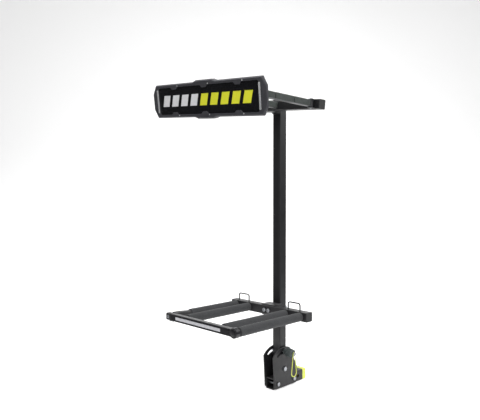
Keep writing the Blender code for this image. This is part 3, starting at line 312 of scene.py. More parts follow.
def disc(radius, rise, sides):
    """Disc that stands on the XY plane."""
    part = bmesh.new()
    bmesh.ops.create_cone(part, cap_ends=True, segments=sides, radius1=radius, radius2=radius, depth=rise,
                          matrix=Matrix.Translation((0.0, 0.0, rise / 2)))
    return part


def top_face(part):
    """Highest face of a part."""
    return max(part.faces, key=lambda face: face.calc_center_median().z)


def rounded_edges(part, chosen, offset, segments):
    """Round the edges that a test chooses."""
    edges = [edge for edge in part.edges if chosen(*edge.verts)]
    bmesh.ops.bevel(part, geom=edges, offset=offset, offset_type="OFFSET", segments=segments, profile=0.5,
                    affect="EDGES", material=-1)
    part.normal_update()


def upright(one, two):
    """Test for an edge along Z."""
    return (one.co.xy - two.co.xy).length < SMALL


def at_height(height):
    """Test for an edge that lies flat at a height."""
    return lambda one, two: abs(one.co.z - height) < SMALL and abs(two.co.z - height) < SMALL


def cut(part, place, normal):
    """Cut a part's faces along a plane."""
    bmesh.ops.bisect_plane(part, geom=part.verts[:] + part.edges[:] + part.faces[:], dist=SMALL / 10,
                           plane_co=place, plane_no=normal)


def outward_at(point):
    """Matrix whose Z axis points outward, along -Y, from a point."""
    return Matrix.Translation(point) @ Matrix.Rotation(math.pi / 2, 4, "X")


def local_box(node, place):
    """Lowest and highest corner of a CAD node in the axes of a leaning frame."""
    inverse = place.inverted()
    points = [inverse @ vertex.co for vertex in frame["nodes"][node].data.vertices]
    low = Vector(min(point[axis] for point in points) for axis in range(3))
    high = Vector(max(point[axis] for point in points) for axis in range(3))
    return low, high


# Effects that several finishes share

def add(tree, kind, inputs, **settings):
    """Node with its settings, each input linked from a socket or set to a value."""
    node = tree.nodes.new("ShaderNode" + kind)
    for name, value in settings.items():
        setattr(node, name, value)
    for name, value in inputs.items():
        if isinstance(value, bpy.types.NodeSocket):
            tree.links.new(value, node.inputs[name])
        else:
            node.inputs[name].default_value = value
    return node


def spread(tree, value, span, result=(0.0, 1.0)):
    """Value mapped from its span to a result's span, and held at the ends."""
    inputs = {"Value": value, "From Min": span[0], "From Max": span[1], "To Min": result[0],
              "To Max": result[1]}
    return add(tree, "MapRange", inputs).outputs["Result"]


def times(tree, one, other):
    """Product of two values."""
    return add(tree, "Math", {0: one, 1: other}, operation="MULTIPLY").outputs[0]


def between(tree, share, one, other):
    """Colour between two colours."""
    return add(tree, "Mix", {0: share, 6: one, 7: other}, data_type="RGBA").outputs[2]


def brought(tree, colour, factor):
    """Colour made darker or lighter by a factor."""
    colour = colour if isinstance(colour, bpy.types.NodeSocket) else colour[:3]
    return add(tree, "VectorMath", {0: colour, "Scale": factor}, operation="SCALE").outputs["Vector"]


def cloud(tree, place, scale, detail):
    """Soft noise from 0 to 1."""
    return add(tree, "TexNoise", {"Vector": place, "Scale": scale, "Detail": detail}).outputs["Fac"]


def cells(tree, place, scale):
    """Distance to the nearest of many scattered points."""
    return add(tree, "TexVoronoi", {"Vector": place, "Scale": scale}).outputs["Distance"]


def height_of(tree, vector):
    """Z of a vector."""
    return add(tree, "SeparateXYZ", {"Vector": vector}).outputs["Z"]


def effect(name, inputs, output, kind):
    """Empty effect group; inputs name their sockets, F for a number, V for a vector, C for a colour."""
    kinds = {"F": "NodeSocketFloat", "V": "NodeSocketVector", "C": "NodeSocketColor"}
    group = bpy.data.node_groups.new(name, "ShaderNodeTree")
    for label, letter in inputs:
        group.interface.new_socket(name=label, in_out="INPUT", socket_type=kinds[letter])
    group.interface.new_socket(name=output, in_out="OUTPUT", socket_type=kinds[kind])
    entry = group.nodes.new("NodeGroupInput")
    leave = group.nodes.new("NodeGroupOutput")
    return group, entry.outputs, leave.inputs


def shade_effect():
    """Patches of darker and lighter shade."""
    inputs = (("Vector", "V"), ("Colour", "C"), ("Scale", "F"), ("Detail", "F"), ("Darkest", "F"),
              ("Lightest", "F"))
    tree, given, wanted = effect("shade_patches", inputs, "Colour", "C")
    patches = cloud(tree, given["Vector"], given["Scale"], given["Detail"])
    factor = spread(tree, patches, (0.0, 1.0), (given["Darkest"], given["Lightest"]))
    tree.links.new(brought(tree, given["Colour"], factor), wanted["Colour"])
    return tree


def gloss_effect():
    """Patches of smoother and rougher skin."""
    inputs = (("Vector", "V"), ("Scale", "F"), ("Detail", "F"), ("Smooth", "F"), ("Rough", "F"))
    tree, given, wanted = effect("uneven_gloss", inputs, "Roughness", "F")
    patches = cloud(tree, given["Vector"], given["Scale"], given["Detail"])
    tree.links.new(spread(tree, patches, NOISE_SPAN, (given["Smooth"], given["Rough"])), wanted["Roughness"])
    return tree


def grain_effect():
    """Height of a fine skin, from orange peel at 0 to small pebbles at 1."""
    inputs = (("Vector", "V"), ("Scale", "F"), ("Pebbles", "F"))
    tree, given, wanted = effect("fine_grain", inputs, "Height", "F")
    peel = cloud(tree, given["Vector"], given["Scale"], detail=1.0)
    pebbles = cells(tree, given["Vector"], given["Scale"])
    skin = add(tree, "Mix", {0: given["Pebbles"], 2: peel, 3: pebbles}, data_type="FLOAT")
    tree.links.new(skin.outputs[0], wanted["Height"])
    return tree


def dust_effect():
    """Pale dust in patches on what faces up."""
    inputs = (("Vector", "V"), ("Facing", "V"), ("Colour", "C"), ("Amount", "F"))
    tree, given, wanted = effect("settled_dust", inputs, "Colour", "C")
    level = spread(tree, height_of(tree, given["Facing"]), DUST_FACING)
    patches = spread(tree, cloud(tree, given["Vector"], scale=9.0, detail=4.0), DUST_SPAN)
    share = times(tree, times(tree, level, patches), given["Amount"])
    tree.links.new(between(tree, share, given["Colour"], DUST_GREY), wanted["Colour"])
    return tree


def lines_effect():
    """Long fine lines along Y, as drawing leaves them on metal."""
    tree, given, wanted = effect("drawn_lines", (("Vector", "V"), ("Scale", "F")), "Lines", "F")
    stretched = add(tree, "Mapping", {"Vector": given["Vector"], "Scale": LINE_STRETCH})
    tree.links.new(cloud(tree, stretched.outputs["Vector"], given["Scale"], detail=4.0), wanted["Lines"])
    return tree


SHADE = shade_effect()
GLOSS = gloss_effect()
GRAIN = grain_effect()
DUST = dust_effect()
LINES = lines_effect()


# Finishes

class Finish:
    """One material: its Principled shader and the nodes that feed it."""

    def __init__(self, name, colour, roughness, metallic=0.0, fixed=None):
        self.material = bpy.data.materials.new(name)
        self.material.use_nodes = True
        self.material.diffuse_color = (*colour, 1.0)
        self.tree = self.material.node_tree
        self.shader = self.tree.nodes["Principled BSDF"]
        self.colour = (*colour, 1.0)
        values = {"Base Color": self.colour, "Roughness": roughness, "Metallic": metallic}
        for socket, value in {**values, **(fixed or {})}.items():
            self.shader.inputs[socket].default_value = value
        coordinates = self.tree.nodes.new("ShaderNodeTexCoord")
        self.place = coordinates.outputs["Object"]
        self.facing = coordinates.outputs["Normal"]
        self.normal = None

    def shared(self, group, **inputs):
        """Output of a shared effect with this finish's own values."""
        return add(self.tree, "Group", {"Vector": self.place, **inputs}, node_tree=group).outputs[0]

    def feed(self, socket, value):
        """Link an output to the shader."""
        self.tree.links.new(value, self.shader.inputs[socket])

    def shaded(self, scale, detail, darkest, lightest, dust=0.0):
        """Uneven base colour, with dust on what faces up."""
        shade = self.shared(SHADE, Colour=self.colour, Scale=scale, Detail=detail, Darkest=darkest,
                            Lightest=lightest)
        if dust:
            shade = self.shared(DUST, Facing=self.facing, Colour=shade, Amount=dust)
        self.feed("Base Color", shade)
        return shade

    def glossed(self, scale, detail, smooth, rough):
        """Uneven roughness."""
        self.feed("Roughness", self.shared(GLOSS, Scale=scale, Detail=detail, Smooth=smooth, Rough=rough))

    def raised(self, height, strength, distance):
        """Lay a height map over the bumps so far."""
        inputs = {"Strength": strength, "Distance": distance, "Height": height}
        if self.normal:
            inputs["Normal"] = self.normal
        self.normal = add(self.tree, "Bump", inputs).outputs["Normal"]
        self.feed("Normal", self.normal)

    def grained(self, scale, pebbles, strength, distance):
        """Fine moulded or sprayed skin."""
        self.raised(self.shared(GRAIN, Scale=scale, Pebbles=pebbles), strength, distance)


def powder_coat():
    """Satin black powder coat: orange peel, faint dust on what faces up."""
    finish = Finish("powder_coat", (0.009, 0.009, 0.010), roughness=0.44, fixed={"Specular IOR Level": 0.38})
    finish.shaded(scale=5.0, detail=2.0, darkest=1.0, lightest=1.6, dust=0.35)
    finish.glossed(scale=60.0, detail=3.0, smooth=0.34, rough=0.50)
    finish.grained(scale=900.0, pebbles=0.0, strength=0.25, distance=0.0002)
    return finish.material


def grained_plastic(name, colour, grain, depth, dust=0.0):
    """Moulded plastic with a fine leathery grain and slight shade changes."""
    finish = Finish(name, colour, roughness=0.50, fixed={"Specular IOR Level": 0.4})
    finish.shaded(scale=14.0, detail=3.0, darkest=0.85, lightest=1.2, dust=dust)
    finish.glossed(scale=200.0, detail=2.0, smooth=0.44, rough=0.58)
    finish.grained(scale=grain, pebbles=1.0, strength=depth, distance=0.0002)
    return finish.material


def gloss_black(name, clear_coat, smooth, hazy, waviness):
    """Deep gloss black with a clear top coat, faint haze and a slow wave."""
    fixed = {"Coat Weight": clear_coat, "Coat Roughness": 0.05, "Specular IOR Level": 0.35}
    finish = Finish(name, (0.006, 0.006, 0.008), roughness=(smooth + hazy) / 2, fixed=fixed)
    finish.shaded(scale=11.0, detail=3.0, darkest=0.9, lightest=1.3)
    finish.glossed(scale=30.0, detail=4.0, smooth=smooth, rough=hazy)
    finish.grained(scale=18.0, pebbles=0.0, strength=waviness, distance=0.0006)
    return finish.material


def closed_cell_foam():
    """Grey closed-cell foam: small pores, soft mottling, fine dents."""
    fixed = {"Sheen Weight": 0.10, "Sheen Roughness": 0.6, "Specular IOR Level": 0.3}
    finish = Finish("closed_cell_foam", (0.024, 0.025, 0.027), roughness=0.88, fixed=fixed)
    mottle = finish.shaded(scale=26.0, detail=5.0, darkest=0.78, lightest=1.22)
    pores = spread(finish.tree, cells(finish.tree, finish.place, scale=1300.0), (0.0, 0.5), (0.74, 1.0))
    finish.feed("Base Color", brought(finish.tree, mottle, pores))
    finish.glossed(scale=120.0, detail=2.0, smooth=0.80, rough=0.95)
    finish.grained(scale=1300.0, pebbles=1.0, strength=0.5, distance=0.0003)
    dents = cloud(finish.tree, finish.place, scale=70.0, detail=3.0)
    finish.raised(dents, strength=0.25, distance=0.0010)
    return finish.material


def pad_rubber():
    """Dark green-grey rubber of the arm pads: matt, with rubbed patches."""
    finish = Finish("pad_rubber", (0.036, 0.042, 0.039), roughness=0.62)
    finish.shaded(scale=22.0, detail=4.0, darkest=0.82, lightest=1.45)
    finish.glossed(scale=90.0, detail=3.0, smooth=0.50, rough=0.70)
    finish.grained(scale=1600.0, pebbles=0.2, strength=0.3, distance=0.0002)
    return finish.material


def zinc_plate():
    """Zinc-plated steel: bluish, faint crystal mottling."""
    finish = Finish("zinc_plate", (0.30, 0.31, 0.33), roughness=0.36, metallic=1.0)
    crystals = spread(finish.tree, cells(finish.tree, finish.place, scale=160.0), (0.0, 0.7), (0.8, 1.15))
    shade = finish.shaded(scale=40.0, detail=3.0, darkest=0.9, lightest=1.1)
    finish.feed("Base Color", brought(finish.tree, shade, crystals))
    finish.glossed(scale=300.0, detail=3.0, smooth=0.26, rough=0.46)
    finish.grained(scale=700.0, pebbles=0.0, strength=0.15, distance=0.0001)
    return finish.material


def drawn_aluminium():
    """Bright satin aluminium with long drawing lines."""
    finish = Finish("drawn_aluminium", (0.80, 0.81, 0.82), roughness=0.28, metallic=0.45)
    tree = finish.tree
    lines = finish.shared(LINES, Scale=120.0)
    finish.feed("Base Color", brought(tree, finish.colour, spread(tree, lines, NOISE_SPAN, (0.82, 1.0))))
    finish.feed("Roughness", spread(tree, lines, NOISE_SPAN, (0.20, 0.36)))
    finish.raised(lines, strength=0.2, distance=0.0001)
    return finish.material


def rail_metal():
    """Dull drawn sides of the arms' rails, with painted shade: the underside and the hinge end are painted darker
    and not metallic.
    """
    finish = Finish("rail_metal", (0.24, 0.25, 0.26), roughness=0.42, metallic=1.0)
    tree = finish.tree
    # Painted shade: faces that point down and the end under the hinge are painted darker and not metallic
    under = spread(tree, height_of(tree, finish.facing), RAIL_SHADED_UNDERSIDE)
    along = add(tree, "SeparateXYZ", {"Vector": finish.place}).outputs["Y"]
    hinge_shade = spread(tree, along, RAIL_SHADED_HINGE_END)
    painted_shade = add(tree, "Math", {0: under, 1: hinge_shade}, operation="MAXIMUM").outputs[0]
    lines = finish.shared(LINES, Scale=120.0)
    metal = brought(tree, finish.colour, spread(tree, lines, NOISE_SPAN, (0.75, 1.15)))
    finish.feed("Base Color", between(tree, painted_shade, metal, RAIL_PAINTED_SHADE))
    finish.feed("Metallic", spread(tree, painted_shade, (0.0, 1.0), (1.0, 0.0)))
    finish.feed("Roughness", spread(tree, lines, NOISE_SPAN, (0.34, 0.52)))
    finish.raised(lines, strength=0.2, distance=0.0001)
    return finish.material


def yellow_plastic():
    """Bright yellow plastic, slightly waxy."""
    finish = Finish("yellow_plastic", (0.55, 0.60, 0.09), roughness=0.42, fixed={"Subsurface Weight": 0.08})
    finish.shaded(scale=40.0, detail=3.0, darkest=0.9, lightest=1.05)
    finish.glossed(scale=220.0, detail=2.0, smooth=0.36, rough=0.50)
    finish.grained(scale=1200.0, pebbles=1.0, strength=0.2, distance=0.0002)
    return finish.material


def reflector_sheet():
    """White prismatic sheet: small cells under a clear skin."""
    fixed = {"Coat Weight": 0.6, "Coat Roughness": 0.08}
    finish = Finish("reflector_sheet", (0.52, 0.52, 0.55), roughness=0.30, fixed=fixed)
    tree = finish.tree
    facets = spread(tree, cells(tree, finish.place, scale=420.0), (0.1, 0.55))
    shade = finish.shaded(scale=60.0, detail=2.0, darkest=0.95, lightest=1.05)
    finish.feed("Base Color", brought(tree, shade, spread(tree, facets, (0.0, 1.0), (0.86, 1.1))))
    finish.feed("Roughness", spread(tree, facets, (0.0, 1.0), (0.2, 0.38)))
    finish.raised(facets, strength=0.15, distance=0.0002)
    return finish.material


def printed_mark(name, colour):
    """Flat screen print on the panel, slightly uneven in gloss."""
    finish = Finish(name, colour, roughness=0.34)
    finish.shaded(scale=300.0, detail=3.0, darkest=0.92, lightest=1.03)
    finish.glossed(scale=500.0, detail=2.0, smooth=0.26, rough=0.42)
    finish.grained(scale=1800.0, pebbles=0.0, strength=0.1, distance=0.0001)
    return finish.material


coat = powder_coat()
black = grained_plastic("black_plastic", (0.018, 0.018, 0.019), grain=1500.0, depth=0.25, dust=0.25)
charcoal = grained_plastic("charcoal_plastic", (0.052, 0.052, 0.060), grain=1100.0, depth=0.35)
grip = grained_plastic("grip_plastic", (0.040, 0.050, 0.050), grain=900.0, depth=0.4)
bar_gloss = gloss_black("bar_gloss", clear_coat=0.12, smooth=0.26, hazy=0.38, waviness=0.10)
panel_gloss = gloss_black("panel_gloss", clear_coat=0.50, smooth=0.10, hazy=0.24, waviness=0.05)
foam = closed_cell_foam()
rubber = pad_rubber()
zinc = zinc_plate()
bright = drawn_aluminium()
rail = rail_metal()
yellow = yellow_plastic()
reflector = reflector_sheet()
white_mark = printed_mark("white_mark", (0.95, 0.95, 0.97))
yellow_mark = printed_mark("yellow_mark", (0.96, 0.96, 0.05))

FINISH_OF_SLOT = {
    "powder_coated_steel": coat,
    "black_plastic": black,
    "zinc_steel": zinc,
    "grey_foam": foam,
    "bright_aluminium": rail,
    "arm_rubber": rubber,
    "gloss_black_coat": bar_gloss,
    "gloss_panel": panel_gloss,
    "charcoal_plastic": charcoal,
    "knob_plastic": grip,
    "yellow_plastic": yellow,
    "white_reflector": reflector,
}
for subpart in frame["record"]["subparts"]:
    solid = frame["nodes"][subpart["node"]]
    solid.data.materials.clear()
    solid.data.materials.append(FINISH_OF_SLOT[subpart["material_slot"]])

# The hub's cap is as glossy as the gate bar that it closes
frame["nodes"]["gate_hub_cap"].data.materials[0] = bar_gloss


# Foam sleeves on the tines

def foam_sleeve(number):
    """Foam tube with soft ends, a bore and a slightly uneven skin."""
    node_name = "foam_sleeve_%d" % number
    low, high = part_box(node_name)
    centre = (low + high) / 2
    radius = (high.z - low.z) / 2
    length = high.y - low.y
    tine_low, tine_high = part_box("tine_tube_%d" % number)
    bore = (tine_high.z - tine_low.z) / 2 + FOAM_BORE_ROOM
    part = bmesh.new()
    edges = joined(part, [(bore, 0.0, 0.0), (radius, 0.0, 0.0), (radius, 0.0, length), (bore, 0.0, length)])
    bmesh.ops.subdivide_edges(part, edges=[edges[1]], cuts=FOAM_RINGS - 1)
    spun(part, FOAM_SIDES)

    def end_rim(one, two):
        """Test for the outer edge at either end."""
        level = abs(one.co.z - two.co.z) < SMALL and (one.co.z < SMALL or one.co.z > length - SMALL)
        return level and min(one.co.xy.length, two.co.xy.length) > radius - SMALL

    rounded_edges(part, end_rim, FOAM_END_ROUND, segments=4)
    for vert in part.verts:
        reach = vert.co.xy.length
        if reach > bore + SMALL:
            spot = Vector((vert.co.x / reach * FOAM_WAVES_ROUND, vert.co.y / reach * FOAM_WAVES_ROUND,
                           vert.co.z * FOAM_WAVES_ALONG + number * FOAM_WAVES_APART))
            shrink = 1.0 - abs(FOAM_WAVER * noise.noise(spot)) / reach
            vert.co.x *= shrink
            vert.co.y *= shrink
    bm = bmesh.new()
    set_in(bm, part, outward_at((centre.x, high.y, centre.z)))
    piece = finished("foam_%d" % number, bm, foam, smooth_angle=50.0)
    fit(piece, "mast", node_name)


for tine in range(1, 5):
    foam_sleeve(tine)


# Axes of the leaning upper frame and of the board on it

pivot = Vector(joints["upper_frame_level"]["pos_m"])
lean = Vector(joints["right_arm_swing"]["axis"])
upper_place = Matrix.Translation(pivot) @ Matrix.Rotation(math.atan2(lean.x, lean.z), 4, "Y")
board_place = (upper_place @ Matrix.Translation((0.0, -BOARD_REACH, -BOARD_DROP))
               @ Matrix.Rotation(BOARD_TILT, 4, "X"))


# Rubber pads on the arms

def rubber_pad(low, high, web_top, start, end):
    """One pad: a saddle section pushed along, sunk on top, with ribbed sides and rounded ends."""
    half = (high.x - low.x) / 2
    top = high.z
    bottom = low.z
    outline = [(-half, bottom), (-half, top), (half, top), (half, bottom),
               (RAIL_WEB, bottom), (RAIL_WEB, web_top), (-RAIL_WEB, web_top), (-RAIL_WEB, bottom)]
    part = pushed([(x, -start, z) for x, z in outline], (0.0, start - end, 0.0))
    crown = top_face(part)
    bmesh.ops.inset_region(part, faces=[crown], thickness=PAD_TOP_MARGIN, use_even_offset=True)
    bmesh.ops.translate(part, vec=(0.0, 0.0, -PAD_TOP_DIP), verts=crown.verts)

    def shoulder(one, two):
        """Test for the long upper edges."""
        return all(vert.co.z > top - SMALL and abs(vert.co.x) > half - SMALL for vert in (one, two))

    rounded_edges(part, shoulder, PAD_BEAD, segments=5)
    ribbed = top - PAD_BEAD - bottom
    ribs = int(ribbed / PAD_RIB_PITCH)
    pitch = ribbed / ribs
    for index in range(1, ribs):
        groove_z = bottom + pitch * index
        for shift in (-PAD_GROOVE_SHARE, 0.0, PAD_GROOVE_SHARE):
            cut(part, (0.0, 0.0, groove_z + pitch * shift), (0.0, 0.0, 1.0))
        for vert in part.verts:
            if abs(vert.co.z - groove_z) < SMALL and abs(vert.co.x) > half - SMALL:
                vert.co.x -= math.copysign(PAD_RIB_DEPTH, vert.co.x)
    for edge_y, inward in ((-start, -1.0), (-end, 1.0)):
        for share in PAD_END_CUTS:
            cut(part, (0.0, edge_y + inward * PAD_END_ROUND * share, 0.0), (0.0, 1.0, 0.0))
        for vert in part.verts:
            if abs(vert.co.x) < RAIL_WEB + SMALL and vert.co.z < web_top + SMALL:
                continue
            nearness = 1.0 - abs(vert.co.y - edge_y) / PAD_END_ROUND
            sink = PAD_END_ROUND * max(0.0, nearness) ** 2
            vert.co.x *= 1.0 - sink / half
            vert.co.z -= sink * (vert.co.z - bottom) / (top - bottom)
    return part


def arm_pads(name, node_name, rail_name, body, arm_x):
    """Three pads in a row, in the leaning axes of their arm."""
    place = upper_place @ Matrix.Translation((arm_x, 0.0, 0.0))
    low, high = local_box(node_name, place)
    web_top = local_box(rail_name, place)[1].z + WEB_ROOM
    ends = [-high.y]
    for groove in PAD_GROOVES:
        ends += [groove - PAD_GAP / 2, groove + PAD_GAP / 2]
    ends.append(-low.y)
    bm = bmesh.new()
    for start, end in zip(ends[::2], ends[1::2]):
        set_in(bm, rubber_pad(low, high, web_top, start, end), place)
    piece = finished(name, bm, rubber, smooth_angle=30.0)
    fit(piece, body, node_name)


hinge_x = (upper_place.inverted() @ Vector(joints["right_arm_swing"]["pos_m"])).x
inner_low, inner_high = local_box("inner_arm_right", upper_place)
inner_x = (inner_low.x + inner_high.x) / 2
arm_pads("pads_right_arm", "right_arm_pad", "right_arm_rail", "right_arm", hinge_x)
arm_pads("pads_left_arm", "left_arm_pad", "left_arm_rail", "left_arm", -hinge_x)
arm_pads("pads_inner_right", "inner_pad_right", "inner_arm_right", "upper_frame", inner_x)
arm_pads("pads_inner_left", "inner_pad_left", "inner_arm_left", "upper_frame", -inner_x)


# Board: casing, marks, trims and screws

def board_casing():
    """Board's shell, with its ends drawn in behind the rim."""
    shell = frame["nodes"]["board_shell"].data.copy()
    stored_normals = shell.attributes.get("custom_normal")
    if stored_normals:
        shell.attributes.remove(stored_normals)
    part = bmesh.new()
    part.from_mesh(shell)
    bpy.data.meshes.remove(shell)
    bmesh.ops.remove_doubles(part, verts=part.verts, dist=SMALL)
    bmesh.ops.transform(part, matrix=board_place.inverted(), verts=part.verts)
    for vert in part.verts:
        depth = vert.co.y + BOARD_RIM - CASING_FRONT
        share = min(1.0, (abs(vert.co.x) - CASING_STRAIGHT) / CASING_BEND)
        if depth > 0.0 and share > 0.0:
            vert.co.x -= math.copysign(depth * share * CASING_DRAFT, vert.co.x)
    bm = bmesh.new()
    set_in(bm, part, board_place)
    piece = finished("board_casing", bm, charcoal, smooth_angle=30.0)
    fit(piece, "upper_frame", "board_shell")


def marks(name, material, first, count):
    """Row of slanted bars on the panel."""
    front = local_box("board_panel", board_place)[0].y - MARK_SEAT
    bm = bmesh.new()
    for index in range(first, first + count):
        left = MARK_START + (MARK_WIDTH + MARK_GAP) * index
        corners = [(left, -MARK_HEIGHT / 2), (left + MARK_WIDTH, -MARK_HEIGHT / 2),
                   (left + MARK_WIDTH + MARK_SLANT, MARK_HEIGHT / 2), (left + MARK_SLANT, MARK_HEIGHT / 2)]
        part = pushed([(x, front, z) for x, z in corners], (0.0, -MARK_THICKNESS, 0.0))
        set_in(bm, part, board_place)
    fit(finished(name, bm, material), "upper_frame")


def board_trims():
    """Bright end trims over the rim's ridges."""
    bm = bmesh.new()
    for x in (-TRIM_X, TRIM_X):
        part = block(TRIM_WIDTH, TRIM_LENGTH, TRIM_RISE)
        rounded_edges(part, upright, TRIM_CORNER, segments=5)
        rounded_edges(part, at_height(TRIM_RISE), TRIM_ROUND, segments=4)
        set_in(bm, part, board_place @ outward_at((x, -BOARD_RIM, 0.0)))
    fit(finished("end_trims", bm, bright), "upper_frame")


def rim_screw():
    """Small round-headed screw with a hexagon socket."""
    part = disc(SCREW_RADIUS, SCREW_RISE, SCREW_SIDES)
    rounded_edges(part, at_height(SCREW_RISE), SCREW_ROUND, segments=3)
    crown = top_face(part)
    bmesh.ops.inset_region(part, faces=[crown], thickness=SCREW_MARGIN, use_even_offset=True)
    for vert in crown.verts:
        angle = math.atan2(vert.co.y, vert.co.x)
        from_flat = (angle + math.pi / 6) % (math.pi / 3) - math.pi / 6
        reach = SOCKET_WIDTH / 2 / math.cos(from_flat)
        vert.co.x = reach * math.cos(angle)
        vert.co.y = reach * math.sin(angle)
    bmesh.ops.inset_region(part, faces=[crown], thickness=SOCKET_CHAMFER, use_even_offset=True)
    bmesh.ops.translate(part, vec=(0.0, 0.0, -SOCKET_DEPTH), verts=crown.verts)
    return part


def rim_screws():
    """Screws beside the clips, above and below the panel."""
    bm = bmesh.new()
    for x in SCREW_X:
        for z in (-SCREW_Z, SCREW_Z):
            set_in(bm, rim_screw(), board_place @ outward_at((x, -BOARD_RIM, z)))
    fit(finished("rim_screws", bm, bright), "upper_frame")


board_casing()
marks("white_bars", white_mark, 0, WHITE_MARKS)
marks("yellow_bars", yellow_mark, WHITE_MARKS, YELLOW_MARKS)
board_trims()
rim_screws()


# Gate: hub ring, lock bezel, key face and the key slot's painted shade

def face_ring(radius, width, sides, place):
    """Half-round ring that lies on a flat face."""
    part = bmesh.new()
    section = (Matrix.Translation((radius, 0.0, 0.0)) @ Matrix.Rotation(math.pi / 2, 4, "X")
               @ Matrix.Diagonal((width / 2, RING_RISE, 1.0, 1.0)))
    bmesh.ops.create_circle(part, segments=RING_SECTION_SIDES, radius=1.0, matrix=section)
    spun(part, sides)
    bm = bmesh.new()
    set_in(bm, part, place)
    return bm


def hub_ring():
    """Ring round the gate's hub."""
    hub = Vector(joints["gate_swing"]["pos_m"])
    place = outward_at((hub.x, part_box("gate_bar")[0].y, hub.z))
    ring = face_ring(HUB_RING_RADIUS, HUB_RING_WIDTH, HUB_RING_SIDES, place)
    fit(finished("hub_ring", ring, bar_gloss), "gate")


def lock_bezel():
    """Bright ring round the lock's barrel."""
    place = outward_at((lock.x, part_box("gate_lock_housing")[0].y, lock.z))
    ring = face_ring(BEZEL_RADIUS, BEZEL_WIDTH, BEZEL_SIDES, place)
    fit(finished("lock_bezel", ring, zinc), "gate")


def key_face():
    """Bright face of the lock's barrel."""
    part = disc(KEY_FACE_RADIUS, KEY_FACE_RISE, KEY_FACE_SIDES)
    rounded_edges(part, at_height(KEY_FACE_RISE), KEY_FACE_ROUND, segments=3)
    bm = bmesh.new()
    set_in(bm, part, barrel)
    fit(finished("key_face", bm, zinc), "gate_lock")


def key_slot_shade():
    """Flat black block barely proud of the barrel's face: painted shade of the key slot, which has no recess."""
    # Painted shade: a black block stands in for the dark depth of the keyhole
    part = block(KEY_SLOT_WIDTH, KEY_SLOT_LENGTH, KEY_FACE_RISE + KEY_SLOT_RISE)
    rounded_edges(part, upright, KEY_SLOT_ROUND, segments=5)
    bm = bmesh.new()
    set_in(bm, part, barrel)
    fit(finished("key_slot_shade", bm, black), "gate_lock")


lock = Vector(joints["lock_turn"]["pos_m"])
barrel = outward_at((lock.x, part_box("gate_lock")[0].y, lock.z))
hub_ring()
lock_bezel()
key_face()
key_slot_shade()


# Weld beads

def bead_section(bead):
    """Corners of a fillet in a right-angled corner, a little sunk into both faces."""
    return [(out * bead, rise * bead) for out, rise in BEAD_SECTION]


def round_bead(radius, bead, ripples):
    """Rippled fillet round a bar where it meets a flat face."""
    part = turned([(radius + out, rise) for out, rise in bead_section(bead)], ripples * BEAD_STEPS_A_RIPPLE)
    for vert in part.verts:
        reach = vert.co.xy.length
        angle = math.atan2(vert.co.y, vert.co.x)
        swell = 1.0 - BEAD_RIPPLE * (1.0 - math.cos(ripples * angle))
        grown = (radius + (reach - radius) * swell) / reach
        vert.co = Vector((vert.co.x * grown, vert.co.y * grown, vert.co.z * swell))
    return part


def straight_bead(length, bead):
    """Rippled fillet along Z, in the corner of the X and Y faces, thinner at both ends."""
    part = pushed([(out, rise, 0.0) for out, rise in bead_section(bead)], (0.0, 0.0, length))
    long_edges = [edge for edge in part.edges if abs(edge.verts[0].co.z - edge.verts[1].co.z) > length / 2]
    cuts = int(length / (bead * BEAD_STEP))
    bmesh.ops.subdivide_edges(part, edges=long_edges, cuts=cuts, use_grid_fill=True)
    for vert in part.verts:
        share = vert.co.z / length
        taper = min(1.0, BEAD_TAPER * min(share, 1.0 - share) + BEAD_TIP)
        ripple = math.tau * share * cuts / BEAD_STEPS_A_RIPPLE
        swell = taper * (1.0 - BEAD_RIPPLE * (1.0 - math.cos(ripple)))
        vert.co.x *= swell
        vert.co.y *= swell
    return part


def weld_beads():
    """Beads where tines and hoops meet the cross tube, and where the socket meets the mast."""
    bm = bmesh.new()
    tube_low, tube_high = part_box("lower_cross_tube")
    for number in range(1, 5):
        low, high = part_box("tine_tube_%d" % number)
        centre = (low + high) / 2
        bead = round_bead((high.z - low.z) / 2, TINE_BEAD, TINE_RIPPLES)
        set_in(bm, bead, outward_at((centre.x, tube_low.y, centre.z)))
    for side in ("left", "right"):
        low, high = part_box("ski_stop_hoop_" + side)
        radius = (high.y - low.y) / 2
        for x in (low.x + radius, high.x - radius):
            place = Matrix.Translation((x, (low.y + high.y) / 2, tube_high.z))
            set_in(bm, round_bead(radius, HOOP_BEAD, HOOP_RIPPLES), place)
    low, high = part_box("upper_socket")
    mast_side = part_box("mast_tube")[1].x
    length = high.z - low.z - 2 * SOCKET_BEAD_MARGIN
    for sign in (-1.0, 1.0):
        corner = Matrix.Translation((sign * mast_side, high.y, low.z + SOCKET_BEAD_MARGIN))
        set_in(bm, straight_bead(length, SOCKET_BEAD), corner @ Matrix.Diagonal((sign, 1.0, 1.0, 1.0)))
    fit(finished("weld_beads", bm, coat, smooth_angle=60.0), "mast")


weld_beads()


# Clamp knob and pull loop

def knob_at(share):
    """Radius share and lobe depth at a share of the knob's length, eased between the stations."""
    for start, end in zip(KNOB_STATIONS, KNOB_STATIONS[1:]):
        if share <= end[0]:
            along = (share - start[0]) / (end[0] - start[0])
            eased = along * along * (3.0 - 2.0 * along)
            return start[1] + (end[1] - start[1]) * eased, start[2] + (end[2] - start[2]) * eased
    return KNOB_STATIONS[-1][1:]


